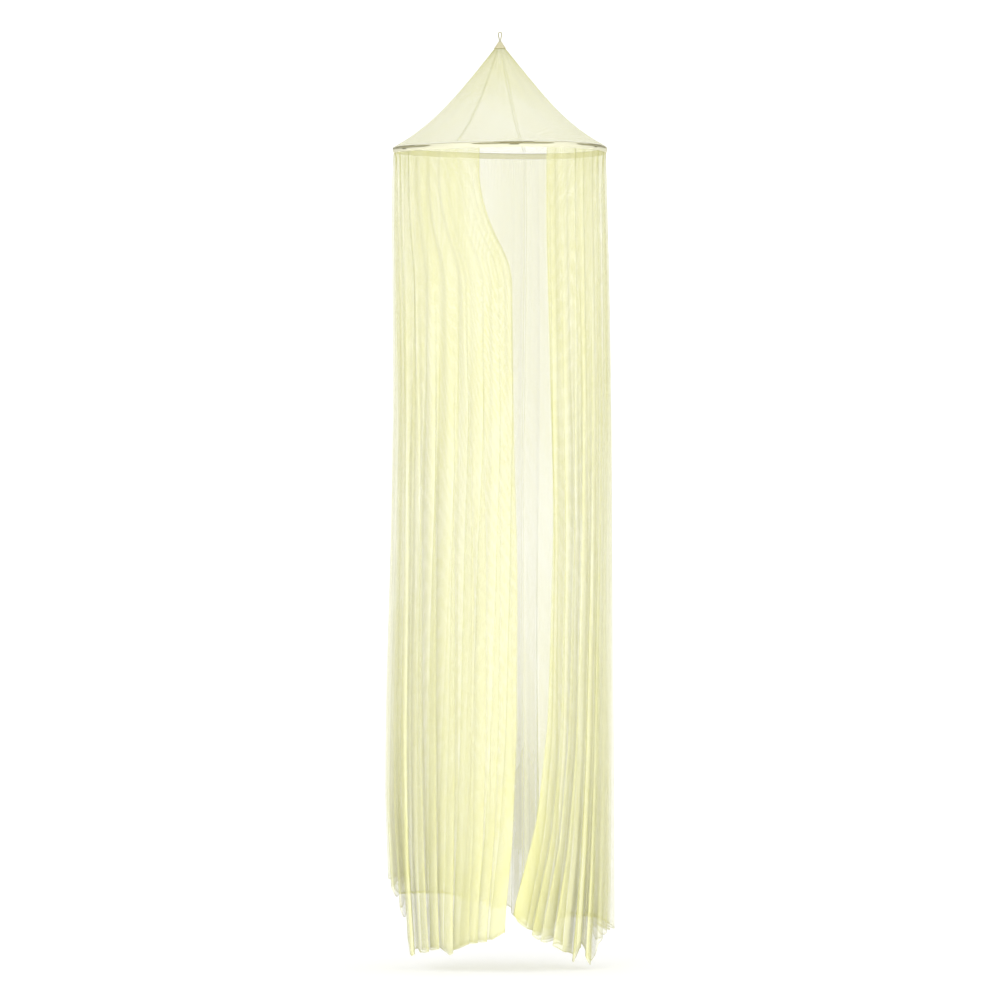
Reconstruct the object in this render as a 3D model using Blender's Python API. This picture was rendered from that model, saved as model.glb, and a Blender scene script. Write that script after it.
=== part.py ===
"""Round mosquito net canopy, as it hangs from a ceiling hook. Metres, +Z up.

A cone of net is sewn to the top of a fabric casing that holds a flexible hoop. Two wide widths of net
hang from the casing's foot as a gathered wall, with a door gap at the front and a seam at the back.
The origin is the eye of the hanging loop, where the hook bears. The front, with the door gap, faces -Y.

An azimuth is an angle round the vertical axis in degrees: 0 is the front, 90 the right (+X), 180 the back.
"""

import math
from collections import namedtuple

import bmesh
import bpy

# Hoop and the sleeve that joins its ends
HOOP_RADIUS = 0.2830
HOOP_LEVEL = -0.3115
HOOP_WARP = 0.0027
ROD_RADIUS = 0.0026
SLEEVE_RADIUS = 0.0038
SLEEVE_WALL = 0.0008
SLEEVE_LENGTH = 0.058
SLEEVE_AZIMUTH = 6.0
SLEEVE_SIDES = 12
SLEEVE_STEPS = 6
HOOP_STEPS = 72

# Casing: a channel of doubled cloth. Its section is given round the rod, from the window's lower lip.
CASING_CLOTH = 0.0012
CASING_FOOT = 0.0106
SectionPoint = namedtuple("SectionPoint", "out up")
CASING_SECTION = (
    SectionPoint(0.0037, -0.0034),
    SectionPoint(0.0037, 0.0034),
    SectionPoint(-0.0004, 0.0056),
    SectionPoint(-0.0050, 0.0030),
    SectionPoint(-0.0050, -0.0032),
    SectionPoint(-0.0018, -0.0100),
    SectionPoint(0.0016, -0.0100),
)
# The windows in the casing's outer side, where the rod shows
Window = namedtuple("Window", "start end")
CASING_WINDOWS = (Window(-85.0, -40.0), Window(-15.0, 30.0), Window(45.0, 80.0))

# Hanging loop: a doubled cord with its two ends sewn inside the cap
CORD_RADIUS = 0.0015
EYE_HALF_WIDTH = 0.0046
FOOT_HALF_WIDTH = 0.0019
FOOT_LEVEL = -0.0360
SHOULDER_LEVEL = -0.0190

# Net and clearances
NET_THICKNESS = 0.0010
WALL_SEAM_GAP = 0.0013
ROOF_SEAM_GAP = 0.0005
EDGE_GAP = 0.0005

# Roof: a cone that draws in, then sweeps out to the hoop
APEX_LEVEL = -0.0250
ROOF_STRAIGHT_SHARE = 0.795
ROOF_SWEEP_POWER = 4.6
ROOF_EDGE_INSET = 0.0012
ROOF_EDGE_LEVEL = 0.0070
ROOF_GATHERS = 16
ROOF_GATHER_DEPTH = 0.0020
ROOF_GATHERS_START = 0.4
ROOF_GATHERS_FADE = 0.6
ROOF_SWAYS = 5
ROOF_SWAY_SHARE = 0.5
ROOF_COLUMNS_A_GATHER = 4
ROOF_ROWS = (0.026, 0.09, 0.2, 0.38, 0.58, 0.76, 0.90, 1.0)
ROOF_SEAM_FRONT = -24.0
ROOF_SEAM_BACK = 166.0

# Cap over the gathered tip of the roof
CapRow = namedtuple("CapRow", "share standoff")
CAP_ROWS = (CapRow(0.004, 0.0038), CapRow(0.024, 0.0026), CapRow(0.044, 0.0023), CapRow(0.062, 0.0022))
CAP_CLOTH = 0.0012
CAP_STEPS = 20

# Wall: its seam's place on the hoop, and how far from the door's edges their drift fades out
WALL_SEAM = 166.0
DRIFT_START_REACH = 54.0
DRIFT_END_REACH = 70.0
FOLD_WANDER = 1.4
WANDER_ROUND = 0.11
WANDER_DOWN = 4.0

# A stretch of the wall from its azimuth to the next. Turn is how far the cloth swings from the hoop's
# line in each fold, in degrees, at the casing, half way down and at the hem. Lean lays the folds over,
# as a slope on their depth: minus towards the front on the right side, plus towards it on the left side.
# The last row is the wall's end.
Stretch = namedtuple("Stretch", "azimuth folds turn_top turn_middle turn_hem lean")
STRETCHES = (
    Stretch(26.0, 4, 56, 84, 106, -1.45),
    Stretch(54.0, 4, 54, 78, 104, -1.75),
    Stretch(88.0, 4, 46, 72, 101, -1.10),
    Stretch(128.0, 4, 36, 66, 99, -1.30),
    Stretch(166.0, 4, 30, 60, 98, 0.10),
    Stretch(206.0, 4, 38, 68, 100, 1.30),
    Stretch(248.0, 4, 50, 76, 102, 1.20),
    Stretch(286.0, 3, 46, 82, 106, 1.80),
    Stretch(316.0, 5, 32, 84, 109, 1.90),
    Stretch(349.0, 0, 32, 84, 109, 1.70),
)
TURN_AT_CASING = 0.5
TURN_OPENS_BY = 0.05
HALF_WAY = 0.5
LEAN_IN_FULL = 0.6
FOLD_UNEVENNESS = 0.30
FOLD_RHYTHM = 2.3
SHORT_FOLD = 0.16
SHORT_FOLD_RHYTHM = 1.9

# The hem is uneven: how far it hangs below the hoop, and how much higher the folds' inner parts hang
HemPoint = namedtuple("HemPoint", "azimuth drop rise")
HEM = (
    HemPoint(5.0, 2.014, 0.008),
    HemPoint(9.0, 2.052, 0.010),
    HemPoint(14.0, 2.078, 0.014),
    HemPoint(19.0, 2.100, 0.020),
    HemPoint(30.0, 2.122, 0.024),
    HemPoint(40.0, 2.166, 0.018),
    HemPoint(44.5, 2.128, 0.016),
    HemPoint(54.0, 2.184, 0.018),
    HemPoint(60.0, 2.118, 0.016),
    HemPoint(72.0, 2.092, 0.014),
    HemPoint(90.0, 2.090, 0.015),
    HemPoint(120.0, 2.070, 0.020),
    HemPoint(142.0, 2.080, 0.020),
    HemPoint(160.0, 2.128, 0.020),
    HemPoint(176.0, 2.064, 0.020),
    HemPoint(211.0, 2.013, 0.010),
    HemPoint(244.0, 2.006, 0.010),
    HemPoint(268.0, 1.946, 0.010),
    HemPoint(284.0, 1.962, 0.010),
    HemPoint(295.0, 2.006, 0.010),
    HemPoint(303.0, 2.060, 0.020),
    HemPoint(308.0, 2.150, 0.010),
    HemPoint(328.0, 2.126, 0.006),
    HemPoint(334.0, 2.142, 0.010),
    HemPoint(344.0, 2.110, 0.006),
    HemPoint(356.0, 2.102, 0.008),
    HemPoint(362.0, 2.078, 0.010),
)

HEM_REACH = 0.302
HEM_SIDES = 0.10

# The outer reach of the folds on the left and right, and the door's two edges, down the wall
Level = namedtuple("Level", "share left right door_left door_right")
LEVELS = (
    Level(0.00, 0.2850, 0.2850, -11.0, 26.0),
    Level(0.05, 0.2905, 0.2895, -11.0, 26.0),
    Level(0.10, 0.2905, 0.2925, -5.0, 26.0),
    Level(0.15, 0.2895, 0.2955, 6.0, 26.5),
    Level(0.32, 0.2875, 0.3030, 5.5, 28.5),
    Level(0.50, 0.2965, 0.3065, 3.0, 31.5),
    Level(0.75, 0.3130, 0.3085, -1.0, 31.0),
    Level(0.88, 0.3160, 0.3085, -5.5, 27.0),
    Level(1.00, 0.3080, 0.3085, -13.0, 17.0),
)
WALL_ROWS = (0.0, 0.05, 0.10, 0.15, 0.32, 0.52, 0.72, 0.88, 1.0)
COLUMNS_A_FOLD = 8
INTEGRAL_STEPS = 48

YELLOW_NET = (0.78, 0.76, 0.36, 1.0)
YELLOW_TAPE = (0.72, 0.69, 0.33, 1.0)
OLIVE_ROD = (0.16, 0.15, 0.07, 1.0)


def clear_scene():
    for existing in list(bpy.data.objects):
        bpy.data.objects.remove(existing, do_unlink=True)


def material(name, colour, roughness):
    made = bpy.data.materials.new(name)
    made.use_nodes = True
    shader = made.node_tree.nodes["Principled BSDF"]
    shader.inputs["Base Color"].default_value = colour
    shader.inputs["Roughness"].default_value = roughness
    shader.inputs["Metallic"].default_value = 0.0
    return made


def ease(share):
    """0 to 1 with a soft start and end; shares outside 0 to 1 are held."""
    share = min(1.0, max(0.0, share))
    return share * share * (3.0 - 2.0 * share)


def read_table(rows, key, field, at):
    """The field's value at a place between two rows of a table, on straight lines."""
    if at <= getattr(rows[0], key):
        return getattr(rows[0], field)
    for low, high in zip(rows, rows[1:]):
        if at <= getattr(high, key):
            share = (at - getattr(low, key)) / (getattr(high, key) - getattr(low, key))
            return getattr(low, field) + share * (getattr(high, field) - getattr(low, field))
    return getattr(rows[-1], field)


def polar(azimuth, radius, height):
    """The point at an azimuth, with the front at -Y."""
    angle = math.radians(azimuth)
    return (radius * math.sin(angle), -radius * math.cos(angle), height)


def hoop_height(azimuth):
    """The hoop is a little out of true, like a saddle."""
    return HOOP_LEVEL + HOOP_WARP * math.sin(2.0 * math.radians(azimuth))


def thicken(name, shape, finish, thickness):
    """An object from a sheet's faces, thickened evenly to both sides into one closed solid."""
    mesh = bpy.data.meshes.new(name)
    shape.to_mesh(mesh)
    shape.free()
    mesh.materials.append(finish)
    mesh.shade_smooth()
    sheet = bpy.data.objects.new(name, mesh)
    bpy.context.scene.collection.objects.link(sheet)
    wall = sheet.modifiers.new("thickness", "SOLIDIFY")
    wall.thickness = thickness
    wall.offset = 0.0
    wall.use_quality_normals = True
    return sheet


def sheet_solid(name, rows, finish, thickness, tube=False, ring=False, cut_out=None):
    """A sheet over rows of points, in triangles, so that its two sides bend along the same lines. A tube
    joins each row's end to its start, and a ring joins the last row to the first. Faces for which
    cut_out(row, column) is true are left out."""
    shape = bmesh.new()
    grid = [[shape.verts.new(point) for point in row] for row in rows]
    across = len(grid[0])
    for i in range(len(grid) if ring else len(grid) - 1):
        here, after = grid[i], grid[(i + 1) % len(grid)]
        for j in range(across if tube else across - 1):
            if cut_out is None or not cut_out(i, j):
                k = (j + 1) % across
                shape.faces.new((here[j], after[j], after[k]))
                shape.faces.new((here[j], after[k], here[k]))
    return thicken(name, shape, finish, thickness)


def round_cord(name, points, radius, finish, closed):
    """A round rod or cord along a line of points."""
    curve = bpy.data.curves.new(name, "CURVE")
    curve.dimensions = "3D"
    curve.bevel_depth = radius
    curve.bevel_resolution = 2
    curve.use_fill_caps = not closed
    line = curve.splines.new("POLY")
    line.points.add(len(points) - 1)
    for knot, point in zip(line.points, points):
        knot.co = (*point, 1.0)
    line.use_cyclic_u = closed
    curve.materials.append(finish)
    cord = bpy.data.objects.new(name, curve)
    bpy.context.scene.collection.objects.link(cord)
    return cord


# ---------------------------------------------------------------- wall

Fold = namedtuple("Fold", "start end stretch number")
Shaped = namedtuple("Shaped", "fold points start end depth")
LinePoint = namedtuple("LinePoint", "azimuth radius out")


def wall_folds():
    """All the folds of the wall, in order round the hoop, each of a slightly different width."""
    folds = []
    for stretch, following in zip(STRETCHES, STRETCHES[1:]):
        first = len(folds)
        rhythm = [math.sin(FOLD_RHYTHM * (first + i)) for i in range(stretch.folds)]
        widths = [1.0 + FOLD_UNEVENNESS * beat for beat in rhythm]
        edge = stretch.azimuth
        for width in widths:
            reach = (following.azimuth - stretch.azimuth) * width / sum(widths)
            folds.append(Fold(edge, edge + reach, stretch, len(folds)))
            edge += reach
    return folds


def swing(turn):
    """One fold of cloth that swings up to turn degrees from its line, as (along, out) from 0 to 1 at even
    steps of cloth, and the fold's depth for each unit of its length."""
    most = math.radians(turn)
    along, out = [0.0], [0.0]
    for i in range(INTEGRAL_STEPS):
        heading = most * math.sin(2.0 * math.pi * (i + 0.5) / INTEGRAL_STEPS)
        along.append(along[-1] + math.cos(heading))
        out.append(out[-1] + math.sin(heading))
    length, depth = along[-1], max(out)
    stride = INTEGRAL_STEPS // COLUMNS_A_FOLD
    points = [(a / length, b / depth) for a, b in zip(along[::stride], out[::stride])]
    return points, depth / length


def turn_at(stretch, share):
    """How far the cloth swings in this stretch's folds at a share of the way down."""
    if share < TURN_OPENS_BY:
        opened = TURN_AT_CASING + (1.0 - TURN_AT_CASING) * share / TURN_OPENS_BY
        return stretch.turn_top * opened
    if share < HALF_WAY:
        lower = (share - TURN_OPENS_BY) / (HALF_WAY - TURN_OPENS_BY)
        return stretch.turn_top + lower * (stretch.turn_middle - stretch.turn_top)
    lower = (share - HALF_WAY) / (1.0 - HALF_WAY)
    return stretch.turn_middle + lower * (stretch.turn_hem - stretch.turn_middle)


def drifted(azimuth, share):
    """Where cloth that starts at this azimuth on the casing hangs, a share of the way down. The door's
    edges swing, and the folds wander a little."""
    wall_start, wall_end = STRETCHES[0].azimuth, STRETCHES[-1].azimuth
    right = read_table(LEVELS, "share", "door_right", share) - wall_start
    left = read_table(LEVELS, "share", "door_left", share) + 360.0 - wall_end
    near_right = ease((wall_start + DRIFT_START_REACH - azimuth) / DRIFT_START_REACH)
    near_left = ease((azimuth - wall_end + DRIFT_END_REACH) / DRIFT_END_REACH)
    inner = 1.0 - max(near_right, near_left)
    wave = math.sin(WANDER_ROUND * azimuth + WANDER_DOWN * share)
    wander = FOLD_WANDER * inner * math.sin(math.pi * share) * wave
    return azimuth + right * near_right + left * near_left + wander


def outer_reach(azimuth, share):
    """The radius that the outer folds reach."""
    left = read_table(LEVELS, "share", "left", share)
    right = read_table(LEVELS, "share", "right", share)
    return (left + right) / 2.0 + (right - left) / 2.0 * math.sin(math.radians(azimuth))


def level_line(folds, share):
    """The wall's line in plan at a share of the way down, from one door edge round to the other."""
    shaped = []
    for fold in folds:
        points, depth_share = swing(turn_at(fold.stretch, share))
        start, end = drifted(fold.start, share), drifted(fold.end, share)
        chord = math.radians(end - start) * outer_reach((start + end) / 2.0, share)
        shaped.append(Shaped(fold, points, start, end, chord * depth_share))
    usual_depth = sum(one.depth for one in shaped) / len(shaped)
    line = []
    for k, (fold, points, start, end, depth) in enumerate(shaped):
        before = (shaped[max(k - 1, 0)].depth + depth) / 2.0
        after = (shaped[min(k + 1, len(shaped) - 1)].depth + depth) / 2.0
        shortfall = SHORT_FOLD * depth * (1.0 + math.sin(SHORT_FOLD_RHYTHM * fold.number))
        last = fold is folds[-1]
        for i, (along, out) in enumerate(points if last else points[:-1]):
            inner_depth = before if 2 * i < COLUMNS_A_FOLD else after
            azimuth = start + along * (end - start)
            inset = (1.0 - out) * inner_depth + out * shortfall
            radius = outer_reach(azimuth, share) - inset
            lean = read_table(STRETCHES, "azimuth", "lean", fold.start + along * (fold.end - fold.start))
            leaned = lean * (usual_depth - inset) * ease(share / LEAN_IN_FULL)
            line.append(LinePoint(azimuth + math.degrees(leaned / radius), radius, out))
    return line


def azimuth_seen(at):
    """The outer azimuth that a point of the line stands straight behind, as seen from the front or the
    back, so that the layers of a fold end level with each other. At the sides it is the point's own."""
    angle = math.radians(at.azimuth)
    across, along = at.radius * math.sin(angle), at.radius * math.cos(angle)
    seen = math.degrees(math.asin(max(-1.0, min(1.0, across / HEM_REACH))))
    if along < 0.0:
        seen = 180.0 - seen
    turned = (seen - at.azimuth + 180.0) % 360.0 - 180.0
    return at.azimuth + turned * ease(abs(along) / HEM_SIDES)


def wall_rows():
    """Level lines of points down the whole wall, from the casing's foot to the uneven hem."""
    folds = wall_folds()
    lines = [level_line(folds, share) for share in WALL_ROWS]
    tops, bottoms = [], []
    for at_top, at_hem in zip(lines[0], lines[-1]):
        tops.append(hoop_height(at_top.azimuth) - CASING_FOOT - EDGE_GAP)
        seen = azimuth_seen(at_hem)
        drop = read_table(HEM, "azimuth", "drop", seen)
        rise = read_table(HEM, "azimuth", "rise", seen)
        bottoms.append(HOOP_LEVEL - drop + (1.0 - at_hem.out) * rise)
    rows = []
    for share, line in zip(WALL_ROWS, lines):
        heights = [top + share * (bottom - top) for top, bottom in zip(tops, bottoms)]
        rows.append([polar(at.azimuth, at.radius, height) for at, height in zip(line, heights)])
    return rows


def draw_in_ends(rows, gap):
    """Rows with their first and last points drawn in, so that panels that meet in a seam keep a gap."""
    drawn = []
    for row in rows:
        row = list(row)
        for end, inner in ((0, 1), (-1, -2)):
            share = gap / 2.0 / math.dist(row[end], row[inner])
            row[end] = tuple(p + share * (q - p) for p, q in zip(row[end], row[inner]))
        drawn.append(row)
    return drawn


def make_wall(finish):
    """The two widths of net, split at the fold that starts on the back seam."""
    rows = wall_rows()
    folds_before_seam = sum(stretch.folds for stretch in STRETCHES if stretch.azimuth < WALL_SEAM)
    seam = folds_before_seam * COLUMNS_A_FOLD
    right = [row[: seam + 1] for row in rows]
    left = [row[seam:] for row in rows]
    sheet_solid("wall_right", draw_in_ends(right, WALL_SEAM_GAP), finish, NET_THICKNESS)
    sheet_solid("wall_left", draw_in_ends(left, WALL_SEAM_GAP), finish, NET_THICKNESS)


# ---------------------------------------------------------------- roof


def roof_radius(share):
    """The roof's radius at a share of the way from its apex down to the hoop."""
    swept = share**ROOF_SWEEP_POWER
    edge = HOOP_RADIUS - ROOF_EDGE_INSET
    return edge * (ROOF_STRAIGHT_SHARE * share + (1.0 - ROOF_STRAIGHT_SHARE) * swept)


def roof_point(azimuth, share):
    """A point of the roof, gathered in shallow ripples that fade out at both ends."""
    edge = hoop_height(azimuth) + ROOF_EDGE_LEVEL
    height = APEX_LEVEL + share * (edge - APEX_LEVEL)
    turn = math.radians(azimuth)
    ripple = math.sin(ROOF_GATHERS * turn) + ROOF_SWAY_SHARE * math.sin(ROOF_SWAYS * turn + 0.7)
    fading = ease((share - ROOF_GATHERS_FADE) / (1.0 - ROOF_GATHERS_FADE))
    fade = min(1.0, share / ROOF_GATHERS_START) * (1.0 - fading)
    return polar(azimuth, roof_radius(share) + ROOF_GATHER_DEPTH * fade * ripple, height)


def make_roof_panel(name, start, end, finish):
    steps = round((end - start) / 360.0 * ROOF_GATHERS * ROOF_COLUMNS_A_GATHER)
    turns = [start + (end - start) * i / steps for i in range(steps + 1)]
    rows = [[roof_point(azimuth, share) for azimuth in turns] for share in ROOF_ROWS]
    sheet_solid(name, draw_in_ends(rows, ROOF_SEAM_GAP), finish, NET_THICKNESS)


def make_cap(finish):
    """A small cone of doubled cloth over the gathered tip of the roof."""
    rows = []
    for share, standoff in CAP_ROWS:
        radius = roof_radius(share) + standoff
        height = APEX_LEVEL + share * (HOOP_LEVEL - APEX_LEVEL) + standoff / 2.0
        rows.append([polar(360.0 * i / CAP_STEPS, radius, height) for i in range(CAP_STEPS)])
    sheet_solid("apex_cap", rows, finish, CAP_CLOTH, tube=True)


# ---------------------------------------------------------------- hoop, casing, loop


def make_hoop(finish):
    turns = [360.0 * i / HOOP_STEPS for i in range(HOOP_STEPS)]
    line = [polar(azimuth, HOOP_RADIUS, hoop_height(azimuth)) for azimuth in turns]
    round_cord("hoop", line, ROD_RADIUS, finish, closed=True)


def hoop_section(azimuth, section):
    """A section's points, placed round the rod at an azimuth."""
    level = hoop_height(azimuth)
    return [polar(azimuth, HOOP_RADIUS + out, level + up) for out, up in section]


def make_sleeve(finish):
    """A short tube that joins the hoop's two ends. It shows in the front window."""
    half_turn = math.degrees(SLEEVE_LENGTH / 2.0 / HOOP_RADIUS)
    middle = SLEEVE_RADIUS - SLEEVE_WALL / 2.0
    turns = [math.tau * i / SLEEVE_SIDES for i in range(SLEEVE_SIDES)]
    section = [(middle * math.cos(turn), middle * math.sin(turn)) for turn in turns]
    start = SLEEVE_AZIMUTH - half_turn
    azimuths = [start + 2.0 * half_turn * i / SLEEVE_STEPS for i in range(SLEEVE_STEPS + 1)]
    rows = [hoop_section(azimuth, section) for azimuth in azimuths]
    sheet_solid("hoop_sleeve", rows, finish, SLEEVE_WALL, tube=True)


def make_casing(finish):
    """The cloth channel round the hoop, open in its windows."""
    step = 360.0 / HOOP_STEPS

    def in_window(row, column):
        middle = (row + 0.5) * step
        turned = middle - 360.0 if middle > 180.0 else middle
        return column == 0 and any(window.start < turned < window.end for window in CASING_WINDOWS)

    rows = [hoop_section(step * i, CASING_SECTION) for i in range(HOOP_STEPS)]
    sheet_solid("hoop_casing", rows, finish, CASING_CLOTH, tube=True, ring=True, cut_out=in_window)


def make_loop(finish):
    """A cord bent into a narrow eye with a round crown, its ends side by side in the cap."""
    half = [(FOOT_HALF_WIDTH, FOOT_LEVEL + (SHOULDER_LEVEL - FOOT_LEVEL) * i / 3.0) for i in range(4)]
    crown = CORD_RADIUS - EYE_HALF_WIDTH
    for i in range(1, 5):
        share = i / 4.0
        width = FOOT_HALF_WIDTH + (EYE_HALF_WIDTH - FOOT_HALF_WIDTH) * ease(share)
        half.append((width, SHOULDER_LEVEL + share * (crown - SHOULDER_LEVEL)))
    for i in range(1, 6):
        angle = math.radians(15.0 * i)
        half.append((EYE_HALF_WIDTH * math.cos(angle), crown + EYE_HALF_WIDTH * math.sin(angle)))
    left = [(-x, 0.0, z) for x, z in half]
    right = [(x, 0.0, z) for x, z in reversed(half)]
    round_cord("hanging_loop", left + [(0.0, 0.0, CORD_RADIUS)] + right, CORD_RADIUS, finish, closed=False)


def main():
    clear_scene()
    net = material("yellow_net", YELLOW_NET, 0.85)
    tape = material("yellow_tape", YELLOW_TAPE, 0.8)
    rod = material("olive_rod", OLIVE_ROD, 0.35)
    make_loop(tape)
    make_cap(tape)
    make_roof_panel("roof_right", ROOF_SEAM_FRONT, ROOF_SEAM_BACK, net)
    make_roof_panel("roof_left", ROOF_SEAM_BACK, ROOF_SEAM_FRONT + 360.0, net)
    make_hoop(rod)
    make_sleeve(rod)
    make_casing(tape)
    make_wall(net)


main()
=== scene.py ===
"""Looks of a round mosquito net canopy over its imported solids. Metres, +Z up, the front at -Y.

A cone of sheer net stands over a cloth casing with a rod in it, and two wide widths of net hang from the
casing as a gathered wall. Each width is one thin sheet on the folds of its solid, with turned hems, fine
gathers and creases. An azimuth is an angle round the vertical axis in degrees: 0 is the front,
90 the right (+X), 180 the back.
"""

import logging
import math
from dataclasses import dataclass
from enum import Enum
from itertools import groupby

import bmesh
import bpy
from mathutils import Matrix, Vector


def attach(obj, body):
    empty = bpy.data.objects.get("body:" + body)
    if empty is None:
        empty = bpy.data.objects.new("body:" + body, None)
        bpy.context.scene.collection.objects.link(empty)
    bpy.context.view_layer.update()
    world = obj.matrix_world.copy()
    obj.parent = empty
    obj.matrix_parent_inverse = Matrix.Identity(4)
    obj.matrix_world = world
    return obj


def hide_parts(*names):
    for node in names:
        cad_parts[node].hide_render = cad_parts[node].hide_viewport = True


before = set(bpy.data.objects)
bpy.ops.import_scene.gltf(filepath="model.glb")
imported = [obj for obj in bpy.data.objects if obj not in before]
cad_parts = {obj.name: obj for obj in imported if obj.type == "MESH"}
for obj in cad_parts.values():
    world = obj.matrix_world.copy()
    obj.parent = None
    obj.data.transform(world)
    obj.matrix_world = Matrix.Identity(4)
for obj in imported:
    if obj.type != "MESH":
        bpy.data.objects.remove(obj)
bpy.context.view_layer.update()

log = logging.getLogger("canopy")

Row = list[Vector]
Colour = tuple[float, float, float]
Socket = bpy.types.NodeSocket

MAP_MARGIN = 0.005
NEAR = 1e-4


class Held(Enum):
    """How a piece of cloth is held in its shape."""

    GATHERED = "gathered"
    STRETCHED = "stretched"


class Side(Enum):
    """The two widths of the roof and of the wall."""

    LEFT = "left"
    RIGHT = "right"


# ---------------------------------------------------------------- small tools


def ease(share: float) -> float:
    """Go from 0 to 1 with a soft start and end, holding shares outside 0 to 1."""
    share = min(1.0, max(0.0, share))
    return share * share * (3.0 - 2.0 * share)


def read_table(rows: tuple, key: str, name: str, at: float) -> float:
    """Read a table between its rows, on straight lines.

    Args:
        rows: the table, in order of its key.
        key: the field that places a row.
        name: the field to read.
        at: the place to read it at.

    Returns:
        The field's value there, held past both ends.
    """
    if at <= getattr(rows[0], key):
        return getattr(rows[0], name)
    for low, high in zip(rows, rows[1:]):
        if at <= getattr(high, key):
            share = (at - getattr(low, key)) / (getattr(high, key) - getattr(low, key))
            return getattr(low, name) + share * (getattr(high, name) - getattr(low, name))
    return getattr(rows[-1], name)


def read_soft(rows: tuple, key: str, name: str, at: float, reach: float) -> float:
    """Read a table as read_table does, with its corners rounded off.

    Args:
        rows: the table, in order of its key.
        key: the field that places a row.
        name: the field to read.
        at: the place to read it at.
        reach: how far to each side the values are averaged.

    Returns:
        The softened value.
    """
    return sum(read_table(rows, key, name, at + reach * step / 2.0) for step in range(-2, 3)) / 5.0


def polar(azimuth: float, radius: float, height: float) -> Vector:
    """Give the point at an azimuth, with the front at -Y."""
    angle = math.radians(azimuth)
    return Vector((radius * math.sin(angle), -radius * math.cos(angle), height))


def deselect_everything() -> None:
    if bpy.context.object and bpy.context.object.mode != "OBJECT":
        bpy.ops.object.mode_set(mode="OBJECT")
    bpy.ops.object.select_all(action="DESELECT")


def only(piece: bpy.types.Object) -> bpy.types.Object:
    """Make a piece the only selected and active object."""
    deselect_everything()
    piece.select_set(True)
    bpy.context.view_layer.objects.active = piece
    return piece


def thicken(piece: bpy.types.Object, cloth: float) -> None:
    """Give a sheet its thickness in metres, half to each side."""
    wall = piece.modifiers.new("thickness", "SOLIDIFY")
    wall.thickness = cloth
    wall.offset = 0.0
    wall.use_quality_normals = True
    only(piece)
    bpy.ops.object.modifier_apply(modifier=wall.name)


def on_map(share: float) -> float:
    """Place a share from 0 to 1 on a map, inside its margins."""
    return MAP_MARGIN + (1.0 - 2.0 * MAP_MARGIN) * share


def settle(piece: bpy.types.Object, name: str, finish: bpy.types.Material) -> bpy.types.Object:
    """Put a modelled piece's place into its mesh, and name and dress it.

    Args:
        piece: the object.
        name: its name in the canopy.
        finish: the material it wears.

    Returns:
        The same object.
    """
    only(piece)
    bpy.ops.object.transform_apply(location=True, rotation=True, scale=True)
    piece.name = name
    piece.data.name = name
    piece.data.materials.clear()
    piece.data.materials.append(finish)
    piece.data.shade_smooth()
    return piece


def hand_over(piece: bpy.types.Object, node: str) -> None:
    """Let a piece ride on the canopy and stand for one of its solids.

    Args:
        piece: the finished object.
        node: the solid that it stands for.
    """
    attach(piece, "root")
    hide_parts(node)
    log.info("%s stands for %s: %d faces", piece.name, node, len(piece.data.polygons))


# ---------------------------------------------------------------- finishes


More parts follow.
